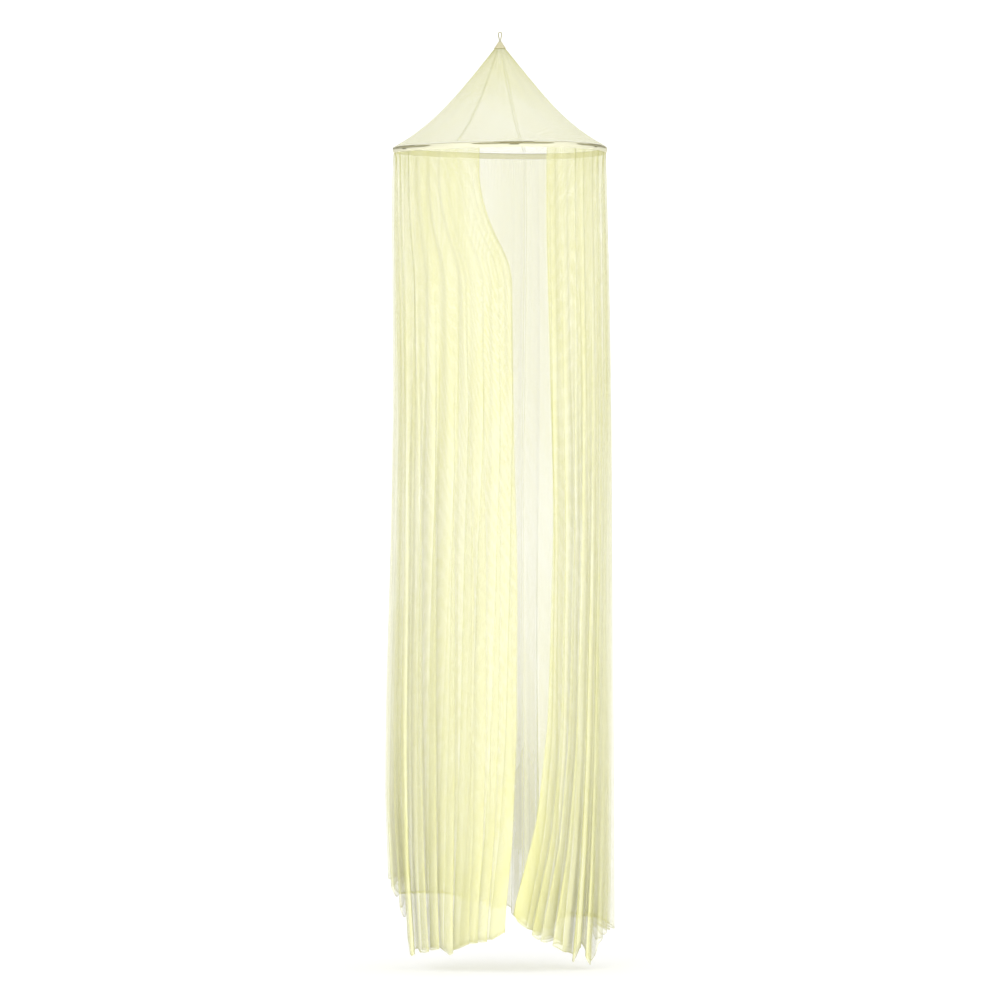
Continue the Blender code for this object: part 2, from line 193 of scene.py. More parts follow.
class Bench:
    """A material's node tree, and the short moves that build it."""

    def __init__(self, name: str) -> None:
        """Start a material with an empty Principled surface.

        Args:
            name: the material's name.
        """
        self.made = bpy.data.materials.new(name)
        self.made.use_nodes = True
        self.tree = self.made.node_tree
        self.shader = self.tree.nodes["Principled BSDF"]

    def node(self, kind: str, **settings: object) -> bpy.types.Node:
        """Add a node of a kind and set its own settings."""
        made = self.tree.nodes.new(kind)
        for key, value in settings.items():
            setattr(made, key, value)
        return made

    def feed(self, socket: Socket, value: object) -> None:
        """Link a value to a socket, or set it there if it is a plain number or colour."""
        if isinstance(value, Socket):
            self.tree.links.new(value, socket)
        else:
            socket.default_value = value

    def math(self, operation: str, first: object, second: object = 0.0, third: object = 0.0) -> Socket:
        """Work out a number from up to three others.

        Args:
            operation: the Math node's operation.
            first: its first value.
            second: its second value, where it has one.
            third: its third value, where it has one.

        Returns:
            The socket with the result.
        """
        made = self.node("ShaderNodeMath", operation=operation)
        for socket, value in zip(made.inputs, (first, second, third)):
            self.feed(socket, value)
        return made.outputs[0]

    def blend(self, share: object, first: object, second: object) -> Socket:
        """Blend two colours by a share.

        Args:
            share: 0 for the first, 1 for the second.
            first: a colour with alpha, or a socket.
            second: a colour with alpha, or a socket.

        Returns:
            The socket with the blended colour.
        """
        made = self.node("ShaderNodeMix", data_type="RGBA")
        self.feed(made.inputs["Factor"], share)
        self.feed(made.inputs[6], first)
        self.feed(made.inputs[7], second)
        return made.outputs[2]

    def noise(self, place: Socket, scale: float, detail: float = 2.0) -> Socket:
        """Give soft unevenness from 0 to 1 at a place."""
        made = self.node("ShaderNodeTexNoise")
        self.feed(made.inputs["Vector"], place)
        made.inputs["Scale"].default_value = scale
        made.inputs["Detail"].default_value = detail
        return made.outputs[0]

    def step(self, value: object, low: float, high: float) -> Socket:
        """Rise softly from 0 to 1 as a value goes from low to high."""
        made = self.node("ShaderNodeMapRange", interpolation_type="SMOOTHSTEP")
        self.feed(made.inputs["Value"], value)
        made.inputs["From Min"].default_value = low
        made.inputs["From Max"].default_value = high
        return made.outputs["Result"]

    def uv(self, name: str) -> tuple[Socket, Socket, Socket]:
        """Read a piece's own map: its whole place, then its two numbers."""
        made = self.node("ShaderNodeUVMap", uv_map=name)
        parts = self.node("ShaderNodeSeparateXYZ")
        self.feed(parts.inputs[0], made.outputs[0])
        return made.outputs[0], parts.outputs[0], parts.outputs[1]

    def place(self) -> Socket:
        """Read the place on the piece in metres."""
        return self.node("ShaderNodeTexCoord").outputs["Object"]

    def streaks(self, along: object, down: object, across: float, length: float) -> Socket:
        """Give soft streaks that run down the cloth.

        Args:
            along: the place along the cloth.
            down: the place down the cloth.
            across: how many streaks there are in a metre.
            length: how often a streak changes in a metre.

        Returns:
            The unevenness, from 0 to 1.
        """
        joined = self.node("ShaderNodeCombineXYZ")
        self.feed(joined.inputs[0], self.math("MULTIPLY", along, across))
        self.feed(joined.inputs[1], self.math("MULTIPLY", down, length))
        return self.noise(joined.outputs[0], 1.0)

    def stitches(self, line: "StitchLine") -> Socket:
        """Mark the stitches of a seam that runs along the cloth's edges.

        Args:
            line: the seam's sizes.

        Returns:
            1 on a stitch and 0 beside it.
        """
        _, from_edge, run = self.uv("edges")
        off_line = self.math("ABSOLUTE", self.math("SUBTRACT", from_edge, line.from_edge))
        on_line = self.math("LESS_THAN", off_line, line.half_width)
        dash = self.math("FRACT", self.math("DIVIDE", run, line.pitch))
        return self.math("MULTIPLY", on_line, self.math("LESS_THAN", dash, line.length_share))

    def colour(self, share: object, first: Colour, second: Colour) -> None:
        """Give the surface a blend of two plain colours."""
        mixed = self.blend(share, (*first, 1.0), (*second, 1.0))
        self.feed(self.shader.inputs["Base Color"], mixed)

    def roughen(self, unevenness: object, spread: float, least: float) -> None:
        """Let the roughness rise with an unevenness, by a spread over its least value."""
        self.feed(self.shader.inputs["Roughness"], self.math("MULTIPLY_ADD", unevenness, spread, least))

    def raise_by(self, height: Socket, distance: float, strength: float) -> None:
        """Raise the surface by a height as a bump.

        Args:
            height: the height from 0 to 1.
            distance: what 1 stands for, in metres.
            strength: how strongly it shows.
        """
        made = self.node("ShaderNodeBump")
        made.inputs["Distance"].default_value = distance
        made.inputs["Strength"].default_value = strength
        self.feed(made.inputs["Height"], height)
        self.feed(self.shader.inputs["Normal"], made.outputs[0])


@dataclass(frozen=True)
class StitchLine:
    """A seam along an edge: its distance from the edge, its half width, and its stitches."""

    from_edge: float
    half_width: float
    pitch: float
    length_share: float


@dataclass(frozen=True)
class NetFinish:
    """Sheer net of fine pale yellow yarn, with stitched hems.

    The share of light it stops follows its yarns, and how far the cloth is drawn in (the piece's "drawn"
    attribute, 1 where it lies flat).
    """

    name: str = "sheer_net"
    yarn: Colour = (0.71, 0.695, 0.295)
    pale: Colour = (0.745, 0.735, 0.38)
    thread: Colour = (0.71, 0.69, 0.31)
    opening: float = 0.16
    crossing: float = 0.50
    pitch: float = 0.0015
    stitching: StitchLine = StitchLine(0.0037, 0.0005, 0.0034, 0.62)
    stitch_cover: float = 0.6
    streaks_across: float = 34.0
    streaks_down: float = 0.9
    streak_cover: float = 0.30
    tones_across: float = 16.0
    tones_down: float = 1.3
    specular: float = 0.20

    def material(self) -> bpy.types.Material:
        """Build the net's material."""
        bench = Bench(self.name)
        _, along, down = bench.uv("cloth")
        turn = 2.0 * math.pi / self.pitch
        warp = bench.math("COSINE", bench.math("MULTIPLY", along, turn))
        weft = bench.math("COSINE", bench.math("MULTIPLY", down, turn))
        yarns = bench.step(bench.math("MAXIMUM", warp, weft), 0.35, 0.95)
        spread = bench.math("MULTIPLY_ADD", yarns, self.crossing - self.opening, self.opening)
        uneven = bench.streaks(along, down, self.streaks_across, self.streaks_down)
        least = 1.0 - self.streak_cover / 2.0
        streaked = bench.math("MULTIPLY_ADD", uneven, self.streak_cover, least)
        cover = bench.math("MULTIPLY", spread, streaked)
        drawn = bench.node("ShaderNodeAttribute", attribute_name="drawn").outputs["Fac"]
        clear = bench.math("POWER", bench.math("SUBTRACT", 1.0, cover), drawn)
        stitch = bench.stitches(self.stitching)
        sewn = bench.math("MULTIPLY", stitch, self.stitch_cover)
        stopped = bench.math("MAXIMUM", bench.math("SUBTRACT", 1.0, clear), sewn)
        bench.feed(bench.shader.inputs["Alpha"], stopped)
        tone = bench.step(bench.streaks(down, along, self.tones_down, self.tones_across), 0.35, 0.68)
        cloth = bench.blend(tone, (*self.yarn, 1.0), (*self.pale, 1.0))
        bench.feed(bench.shader.inputs["Base Color"], bench.blend(stitch, cloth, (*self.thread, 1.0)))
        bench.roughen(uneven, 0.15, 0.72)
        bench.shader.inputs["Specular IOR Level"].default_value = self.specular
        bench.raise_by(yarns, 0.00012, 0.25)
        return bench.made


@dataclass(frozen=True)
class TapeFinish:
    """Plain-woven tape of doubled cloth, for the casing and the cap."""

    name: str = "woven_tape"
    yarn: Colour = (0.84, 0.82, 0.62)
    shaded: Colour = (0.74, 0.72, 0.47)
    cover: float = 0.80
    pitch: float = 0.0009
    stitching: StitchLine = StitchLine(0.0018, 0.0004, 0.0030, 0.65)
    stitch_depth: float = 0.9
    weave_depth: float = 0.35
    specular: float = 0.3

    def material(self) -> bpy.types.Material:
        """Build the tape's material."""
        bench = Bench(self.name)
        place, along, down = bench.uv("cloth")
        turn = 2.0 * math.pi / self.pitch
        warp = bench.math("SINE", bench.math("MULTIPLY", along, turn))
        weft = bench.math("SINE", bench.math("MULTIPLY", down, turn))
        over = bench.math("MULTIPLY_ADD", bench.math("MULTIPLY", warp, weft), 0.5, 0.5)
        uneven = bench.noise(place, 60.0)
        sewn = bench.math("MULTIPLY", bench.stitches(self.stitching), self.stitch_depth)
        sunk = bench.math("MAXIMUM", sewn, bench.math("MULTIPLY", over, self.weave_depth))
        patchy = bench.math("MULTIPLY_ADD", uneven, 0.6, 0.6)
        bench.colour(bench.math("MULTIPLY", sunk, patchy), self.yarn, self.shaded)
        covered = bench.math("MULTIPLY_ADD", over, 1.0 - self.cover, self.cover)
        bench.feed(bench.shader.inputs["Alpha"], covered)
        bench.roughen(uneven, 0.2, 0.65)
        bench.shader.inputs["Specular IOR Level"].default_value = self.specular
        bench.raise_by(over, 0.0002, 0.5)
        return bench.made


@dataclass(frozen=True)
class CordFinish:
    """Twisted cotton cord with fine fibres, a little darker than the net."""

    name: str = "twisted_cord"
    fibre: Colour = (0.50, 0.48, 0.27)
    shaded: Colour = (0.33, 0.31, 0.15)
    fibres: float = 1500.0

    def material(self) -> bpy.types.Material:
        """Build the cord's material."""
        bench = Bench(self.name)
        place = bench.place()
        fuzz = bench.noise(place, self.fibres, 3.0)
        patches = bench.noise(place, 120.0)
        shade = bench.math("MULTIPLY", bench.step(fuzz, 0.35, 0.7), bench.step(patches, 0.3, 0.7))
        bench.colour(shade, self.fibre, self.shaded)
        bench.roughen(fuzz, 0.2, 0.7)
        bench.shader.inputs["Specular IOR Level"].default_value = 0.2
        bench.raise_by(fuzz, 0.00012, 0.6)
        return bench.made


@dataclass(frozen=True)
class RodFinish:
    """Olive rod with a satin skin and faint scuffs of wear."""

    name: str
    body: Colour
    worn: Colour
    roughness: float = 0.36

    def material(self) -> bpy.types.Material:
        """Build the rod's material."""
        bench = Bench(self.name)
        place = bench.place()
        scuffs = bench.noise(place, 300.0, 4.0)
        patches = bench.noise(place, 14.0)
        wear = bench.math("MULTIPLY", bench.step(scuffs, 0.5, 0.8), bench.step(patches, 0.35, 0.7))
        bench.colour(wear, self.body, self.worn)
        bench.roughen(scuffs, 0.2, self.roughness)
        bench.raise_by(scuffs, 0.00005, 0.3)
        return bench.made


@dataclass(frozen=True)
class StageFinish:
    """Matt white paper of the light tent, which glows evenly by its own emission (painted light), where a
    camera can look in.
    """

    name: str = "studio_paper"
    white: Colour = (0.94, 0.94, 0.94)
    glow: float = 0.292

    def material(self) -> bpy.types.Material:
        """Build the paper's material."""
        bench = Bench(self.name)
        bench.shader.inputs["Base Color"].default_value = (*self.white, 1.0)
        bench.shader.inputs["Roughness"].default_value = 1.0
        bench.shader.inputs["Specular IOR Level"].default_value = 0.0
        # The paper glows by its own emission: painted light that brightens the whole tent and lights the
        # canopy.
        bench.shader.inputs["Emission Color"].default_value = (1.0, 1.0, 1.0, 1.0)
        bench.shader.inputs["Emission Strength"].default_value = self.glow
        inside = bench.node("ShaderNodeNewGeometry").outputs["Backfacing"]
        bench.feed(bench.shader.inputs["Alpha"], inside)
        return bench.made


# ---------------------------------------------------------------- cloth


@dataclass(frozen=True)
class Turned:
    """An edge turned under twice: its width, its layers' space, and its share of a narrow row at most."""

    width: float = 0.0045
    space: float = 0.0003
    steps: int = 3
    most_share: float = 0.5

    def places(self, length: float) -> list[tuple[float, float]]:
        """Give the layers' points, going inward: how far back from the edge, and how far behind the cloth.

        Args:
            length: how long the row is that ends at the edge.

        Returns:
            The points, from the edge.
        """
        width = min(self.width, self.most_share * length)
        back = [width * i / self.steps for i in range(self.steps + 1)]
        behind = [(place, 2.0 * self.space) for place in back]
        return behind + [(place, self.space) for place in reversed(back[1:])]

    @property
    def layers(self) -> int:
        """Say how many points the turned layers add to a row."""
        return 2 * self.steps + 1


def length_of(line: Row) -> float:
    """Measure a line of points."""
    return sum((after - here).length for here, after in zip(line, line[1:]))


def walk_back(line: Row, distance: float) -> tuple[int, float]:
    """Find the place a distance from a line's start.

    Args:
        line: points along the cloth, starting on its edge.
        distance: how far to go along it.

    Returns:
        The point before that place, and the share of the way to the next one.
    """
    left = distance
    for i in range(len(line) - 2):
        length = (line[i + 1] - line[i]).length
        if left <= length:
            return i, left / length
        left -= length
    return len(line) - 2, 0.5


def behind_normals(rows: list[Row]) -> list[Row]:
    """Give each point's direction to the back of the cloth, away from the way its faces look.

    Args:
        rows: the sheet's rows of points, from its top down.

    Returns:
        Rows of unit vectors.
    """
    found = []
    for i, row in enumerate(rows):
        above, below = rows[max(i - 1, 0)], rows[min(i + 1, len(rows) - 1)]
        line = []
        for j in range(len(row)):
            down = below[j] - above[j]
            along = row[min(j + 1, len(row) - 1)] - row[max(j - 1, 0)]
            line.append(-down.cross(along).normalized())
        found.append(line)
    return found


def lay_under(line: Row, behind: Row, turned: Turned) -> Row:
    """Lay the turned layers behind the start of a line.

    Args:
        line: points along the cloth, starting on its edge.
        behind: each point's direction to the back of the cloth.
        turned: the hem's sizes.

    Returns:
        The layers' points, from the edge.
    """
    layers = []
    for distance, depth in turned.places(length_of(line)):
        i, share = walk_back(line, distance)
        place = line[i].lerp(line[i + 1], share)
        layers.append(place + depth * behind[i].lerp(behind[i + 1], share))
    return layers


def turn_sides(rows: list[Row], at_start: Turned, at_end: Turned) -> list[Row]:
    """Turn the sheet's first and last columns under.

    Args:
        rows: the sheet's rows of points.
        at_start: the sizes of the hem at the rows' start.
        at_end: the sizes of the hem at the rows' end, with as many layers.

    Returns:
        Rows with the turned layers before their first point and after their last.
    """
    done = []
    for row, behind in zip(rows, behind_normals(rows)):
        first = lay_under(row, behind, at_start)
        last = lay_under(row[::-1], behind[::-1], at_end)
        done.append(first[::-1] + row + last)
    return done


def turn_hem(rows: list[Row], turned: Turned) -> list[Row]:
    """Turn the sheet's last row under.

    Args:
        rows: the sheet's rows of points.
        turned: the hem's sizes.

    Returns:
        Rows with the turned layers after the last one.
    """
    columns = [column[::-1] for column in zip(*rows)]
    looking = [column[::-1] for column in zip(*behind_normals(rows))]
    added = [lay_under(column, behind, turned) for column, behind in zip(columns, looking)]
    return rows + [list(row) for row in zip(*added)]


@dataclass
class ClothSheet:
    """A thin sheet of cloth over rows of points, with maps in metres of cloth.

    The "cloth" map runs along and down the cloth in metres. The "edges" map holds the distance from the
    nearest stitched edge and the run along it. The "drawn" attribute says how far the cloth is drawn in.
    """

    name: str
    rows: list[Row]
    drawn: list[list[float]]
    closed: bool = False
    side_layers: int = 0
    hem_layers: int = 0

    def lengths(self) -> tuple[list[list[float]], list[list[float]]]:
        """Measure the cloth: how far along its row, and how far down its column, each point is."""
        along, down = [], []
        for i, row in enumerate(self.rows):
            line = [0.0]
            for here, after in zip(row, row[1:]):
                line.append(line[-1] + (after - here).length)
            along.append(line)
            if i == 0:
                down.append([0.0] * len(row))
            else:
                steps = [(point - above).length for point, above in zip(row, self.rows[i - 1])]
                down.append([before + step for before, step in zip(down[-1], steps)])
        return along, down

    def build(self, finish: bpy.types.Material) -> bpy.types.Object:
        """Make the sheet's mesh with its maps.

        Args:
            finish: the material it wears.

        Returns:
            The new object.
        """
        shape = bmesh.new()
        cloth = shape.loops.layers.uv.new("cloth")
        edges = shape.loops.layers.uv.new("edges")
        spread = shape.loops.layers.uv.new("OFBake")
        drawn = shape.verts.layers.float.new("drawn")
        grid = []
        for row, shares in zip(self.rows, self.drawn):
            line = [shape.verts.new(point) for point in row]
            for point, share in zip(line, shares):
                point[drawn] = share
            grid.append(line)
        along, down = self.lengths()
        high, wide = len(grid), len(grid[0])
        middle = [row[-1] / 2.0 for row in along]
        hem = high - 1 - self.hem_layers
        last = wide - 1 - self.side_layers
        for i in range(high - 1):
            for j in range(wide if self.closed else wide - 1):
                k = (j + 1) % wide
                face = shape.faces.new((grid[i][j], grid[i + 1][j], grid[i + 1][k], grid[i][k]))
                corners = ((i, j), (i + 1, j), (i + 1, j + 1), (i, j + 1))
                for loop, (a, b) in zip(face.loops, corners):
                    b_in = min(b, wide - 1)
                    past = b - b_in
                    here = along[a][b_in] + past * (along[a][-1] / (wide - 1))
                    loop[cloth].uv = (here - middle[a], down[a][b_in])
                    from_side = min(
                        abs(along[a][b_in] - along[a][self.side_layers]),
                        abs(along[a][b_in] - along[a][last]),
                    )
                    from_hem = abs(down[a][b_in] - down[hem][b_in])
                    if self.closed or from_hem < from_side:
                        loop[edges].uv = (from_hem, here)
                    else:
                        loop[edges].uv = (from_side, down[a][b_in])
                    full = wide if self.closed else wide - 1
                    loop[spread].uv = (on_map(b / full), on_map(1.0 - down[a][b_in] / down[-1][b_in]))
        mesh = bpy.data.meshes.new(self.name)
        shape.to_mesh(mesh)
        shape.free()
        mesh.materials.append(finish)
        mesh.shade_smooth()
        made = bpy.data.objects.new(self.name, mesh)
        bpy.context.scene.collection.objects.link(made)
        return made


# ---------------------------------------------------------------- hoop


@dataclass(frozen=True)
class HoopLine:
    """The line the rod's middle follows: a ring a little out of true, like a saddle."""

    radius: float = 0.2830
    level: float = -0.3115
    warp: float = 0.0027

    def height(self, azimuth: float) -> float:
        """Give the rod's height at an azimuth."""
        return self.level + self.warp * math.sin(2.0 * math.radians(azimuth))

    def section(self, azimuth: float, points: list[tuple[float, float]]) -> Row:
        """Place a section's points, given as out and up from the rod's middle, at an azimuth."""
        level = self.height(azimuth)
        return [polar(azimuth, self.radius + out, level + up) for out, up in points]


@dataclass
class Rod:
    """The flexible rod, bent to a ring."""

    line: HoopLine
    radius: float = 0.0026
    steps: int = 288
    sides: int = 16

    def build(self, finish: bpy.types.Material) -> bpy.types.Object:
        """Turn a ring and lay it on the hoop's line.

        Args:
            finish: the rod's material.

        Returns:
            The rod.
        """
        deselect_everything()
        bpy.ops.mesh.primitive_torus_add(
            major_segments=self.steps,
            minor_segments=self.sides,
            major_radius=self.line.radius,
            minor_radius=self.radius,
            location=(0.0, 0.0, self.line.level),
        )
        made = settle(bpy.context.object, "hoop_rod", finish)
        for point in made.data.vertices:
            azimuth = math.degrees(math.atan2(point.co.x, -point.co.y))
            point.co.z += self.line.height(azimuth) - self.line.level
        return made


@dataclass
class Sleeve:
    """The short tube that joins the rod's two ends."""

    line: HoopLine
    radius: float = 0.0038
    wall: float = 0.0008
    length: float = 0.0580
    azimuth: float = 6.0
    rim: float = 0.0003
    sides: int = 24
    cuts: int = 12

    def build(self, finish: bpy.types.Material) -> bpy.types.Object:
        """Model a straight tube with soft rims, cut it across and bend it along the hoop.

        Args:
            finish: the tube's material.

        Returns:
            The sleeve.
        """
        deselect_everything()
        bpy.ops.mesh.primitive_cylinder_add(
            vertices=self.sides, radius=self.radius, depth=self.length, rotation=(0.0, math.pi / 2.0, 0.0)
        )
        made = settle(bpy.context.object, "rod_sleeve", finish)
        bpy.ops.object.mode_set(mode="EDIT")
        bpy.ops.mesh.select_mode(type="FACE")
        shape = bmesh.from_edit_mesh(made.data)
        self.select_ends(shape)
        bmesh.update_edit_mesh(made.data)
        bpy.ops.mesh.inset(thickness=self.wall, depth=0.0)
        bpy.ops.mesh.delete(type="FACE")
        bpy.ops.mesh.select_mode(type="EDGE")
        shape = bmesh.from_edit_mesh(made.data)
        for edge in shape.edges:
            edge.select_set(edge.is_boundary)
        bmesh.update_edit_mesh(made.data)
        bpy.ops.mesh.bridge_edge_loops()
        shape = bmesh.from_edit_mesh(made.data)
        half_in_wall = self.radius - self.wall / 2.0
        for edge in shape.edges:
            at_end = all(abs(abs(point.co.x) - self.length / 2.0) < NEAR for point in edge.verts)
            outer = all(math.hypot(point.co.y, point.co.z) > half_in_wall for point in edge.verts)
            edge.select_set(at_end and outer)
        bmesh.update_edit_mesh(made.data)
        bpy.ops.mesh.bevel(offset=self.rim, segments=2, affect="EDGES")
        for i in range(1, self.cuts):
            bpy.ops.mesh.select_all(action="SELECT")
            bpy.ops.mesh.bisect(
                plane_co=(self.length * (i / self.cuts - 0.5), 0.0, 0.0), plane_no=(1.0, 0.0, 0.0)
            )
        bpy.ops.mesh.select_all(action="SELECT")
        bpy.ops.mesh.normals_make_consistent(inside=False)
        bpy.ops.object.mode_set(mode="OBJECT")
        for point in made.data.vertices:
            azimuth = self.azimuth + math.degrees(point.co.x / self.line.radius)
            level = self.line.height(azimuth) + point.co.z
            point.co = polar(azimuth, self.line.radius - point.co.y, level)
        return made

    def select_ends(self, shape: bmesh.types.BMesh) -> None:
        """Select the tube's two flat ends.

        Args:
            shape: the tube in edit mode.
        """
        for face in shape.faces:
            face.select_set(abs(face.normal.x) > 0.9)


@dataclass(frozen=True)
class Window:
    """A stretch of the casing, in azimuths, where the rod shows."""

    start: float
    end: float


@dataclass
class Casing:
    """The channel of doubled cloth that the rod runs in, with its net edges sewn in above and below."""

    line: HoopLine
    cloth: float = 0.0011
    section: tuple[tuple[float, float], ...] = (
        (0.0037, -0.0034),
        (0.0037, 0.0034),
        (-0.0004, 0.0056),
        (-0.0050, 0.0030),
        (-0.0050, -0.0032),
        (-0.0018, -0.0100),
        (0.0016, -0.0100),
    )
    windows: tuple[Window, ...] = (Window(-85.0, -40.0), Window(-15.0, 30.0), Window(45.0, 80.0))
    window_reach: float = 0.0034
    window_taper: float = 0.45
    window_out: float = 0.0026
    steps: int = 360
    rounding: float = 0.2
    sides: int = 8
    puckers: int = 132
    pucker_depth: float = 0.00035
    stitch_line: float = -0.0088
    cut_width: float = 0.0420

    def outline(self) -> list[tuple[float, float]]:
        """Give the section with its corners rounded, as out and up from the rod's middle."""
        found = []
        count = len(self.section)
        for i in range(count):
            start, end = self.section[i], self.section[(i + 1) % count]
            for step in range(self.sides):
                share = self.rounding + (1.0 - 2.0 * self.rounding) * step / (self.sides - 1)
                found.append(tuple(a + share * (b - a) for a, b in zip(start, end)))
        return found

    def pucker(self, azimuth: float) -> float:
        """Say how far the gathered cloth stands out at an azimuth."""
        turn = math.radians(azimuth)
        wave = math.sin(self.puckers * turn + 2.0 * math.sin(7.0 * turn))
        return self.pucker_depth * wave * (0.7 + 0.3 * math.sin(11.0 * turn + 0.4))

    def shows_rod(self, azimuth: float, point: tuple[float, float]) -> bool:
        """Say whether a place on the casing is open over the rod.

        Args:
            azimuth: where it is round the hoop, from -180 to 180.
            point: where it is in the section.

        Returns:
            True where the cloth is left out.
        """
        out, up = point
        if out < self.window_out:
            return False
        for window in self.windows:
            if window.start < azimuth < window.end:
                share = (azimuth - window.start) / (window.end - window.start)
                return abs(up) < self.window_reach * math.sin(math.pi * share) ** self.window_taper
        return False

    def build(self, finish: bpy.types.Material) -> bpy.types.Object:
        """Lay the cloth round the rod, open its windows and give it its thickness.

        Args:
            finish: the cloth's material.

        Returns:
            The casing.
        """
        outline = self.outline()
        azimuths = [360.0 * i / self.steps for i in range(self.steps)]
        shape = bmesh.new()
        cloth = shape.loops.layers.uv.new("cloth")
        edges = shape.loops.layers.uv.new("edges")
        spread = shape.loops.layers.uv.new("OFBake")
        grid = []
        for azimuth in azimuths:
            push = self.pucker(azimuth)
            points = [(out + math.copysign(push, out), up) for out, up in outline]
            grid.append([shape.verts.new(point) for point in self.line.section(azimuth, points)])
        around = [0.0]
        for here, after in zip(outline, outline[1:] + outline[:1]):
            around.append(around[-1] + math.dist(here, after))
        step = math.tau * self.line.radius / self.steps
        for i in range(self.steps):
            middle = azimuths[i] + 180.0 / self.steps
            turned = middle - 360.0 if middle > 180.0 else middle
            for j in range(len(outline)):
                k = (j + 1) % len(outline)
                centre = tuple((a + b) / 2.0 for a, b in zip(outline[j], outline[k]))
                if self.shows_rod(turned, centre):
                    continue
                after = grid[(i + 1) % self.steps]
                face = shape.faces.new((grid[i][j], after[j], after[k], grid[i][k]))
                places = ((i, j), (i + 1, j), (i + 1, j + 1), (i, j + 1))
                for loop, (a, b) in zip(face.loops, places):
                    loop[cloth].uv = (step * a, around[b])
                    up = outline[b % len(outline)][1]
                    loop[edges].uv = (abs(up - self.stitch_line), step * a)
                    loop[spread].uv = (on_map(a / self.steps), on_map(around[b] / around[-1]))
        bmesh.ops.recalc_face_normals(shape, faces=shape.faces)
        mesh = bpy.data.meshes.new("casing_cloth")
        shape.to_mesh(mesh)
        shape.free()
        made = bpy.data.objects.new("casing_cloth", mesh)
        bpy.context.scene.collection.objects.link(made)
        thicken(made, self.cloth)
        return settle(made, "casing_cloth", finish)


# ---------------------------------------------------------------- wall


def layers_seen(places: list[float], cell: float, reach: int = 1) -> list[float]:
    """Count how many layers a folded line lays over each of its own points.

    Args:
        places: the line's places along the direction that it is folded in.
        cell: the step in which the places are counted.
        reach: over how many steps to each side the count is averaged.

    Returns:
        The softened count for each point, at least 1.
    """
    passes: dict[int, int] = {}
    for here, after in zip(places, places[1:]):
        low, high = sorted((here, after))
        for step in range(math.ceil(low / cell), math.ceil(high / cell)):
            passes[step] = passes.get(step, 0) + 1
    found = []
    for place in places:
        middle = round(place / cell)
        near = [passes.get(step, 1) for step in range(middle - reach, middle + reach + 1)]
        found.append(max(1.0, sum(near) / len(near)))
    return found


@dataclass(frozen=True)
class Stretch:
    """A stretch of the wall from its azimuth to the next: its folds, and how they swing and lean."""

    azimuth: float
    folds: int
    turn_top: float
    turn_middle: float
    turn_hem: float
    lean: float


@dataclass(frozen=True)
class HemPoint:
    """How far the hem hangs below the hoop, and how much higher the folds' inner parts hang."""

    azimuth: float
    drop: float
    rise: float


@dataclass(frozen=True)
class Level:
    """How the wall is at a share of the way down.

    It has the outer reach of the folds on the left and right, the door's two edges, and how densely the
    cloth is drawn in at the front and at the back.
    """

    share: float
    left: float
    right: float
    door_left: float
    door_right: float
    front: float
    back: float


@dataclass(frozen=True)
class Crease:
    """A soft ridge (plus) or trough (minus) that runs down the cloth. Its place is counted in folds."""

    place: float
    top: float
    bottom: float
    depth: float
    width: float
    slant: float = 0.0


@dataclass(frozen=True)
class Fold:
    """One fold of the wall, between two azimuths on the casing."""

    start: float
    end: float
    stretch: Stretch
    number: int


@dataclass(frozen=True)
class LinePoint:
    """A point of the wall's line in plan. Out is 1 on a fold's outer crest and 0 in its inner trough."""

    azimuth: float
    radius: float
    out: float
    place: float


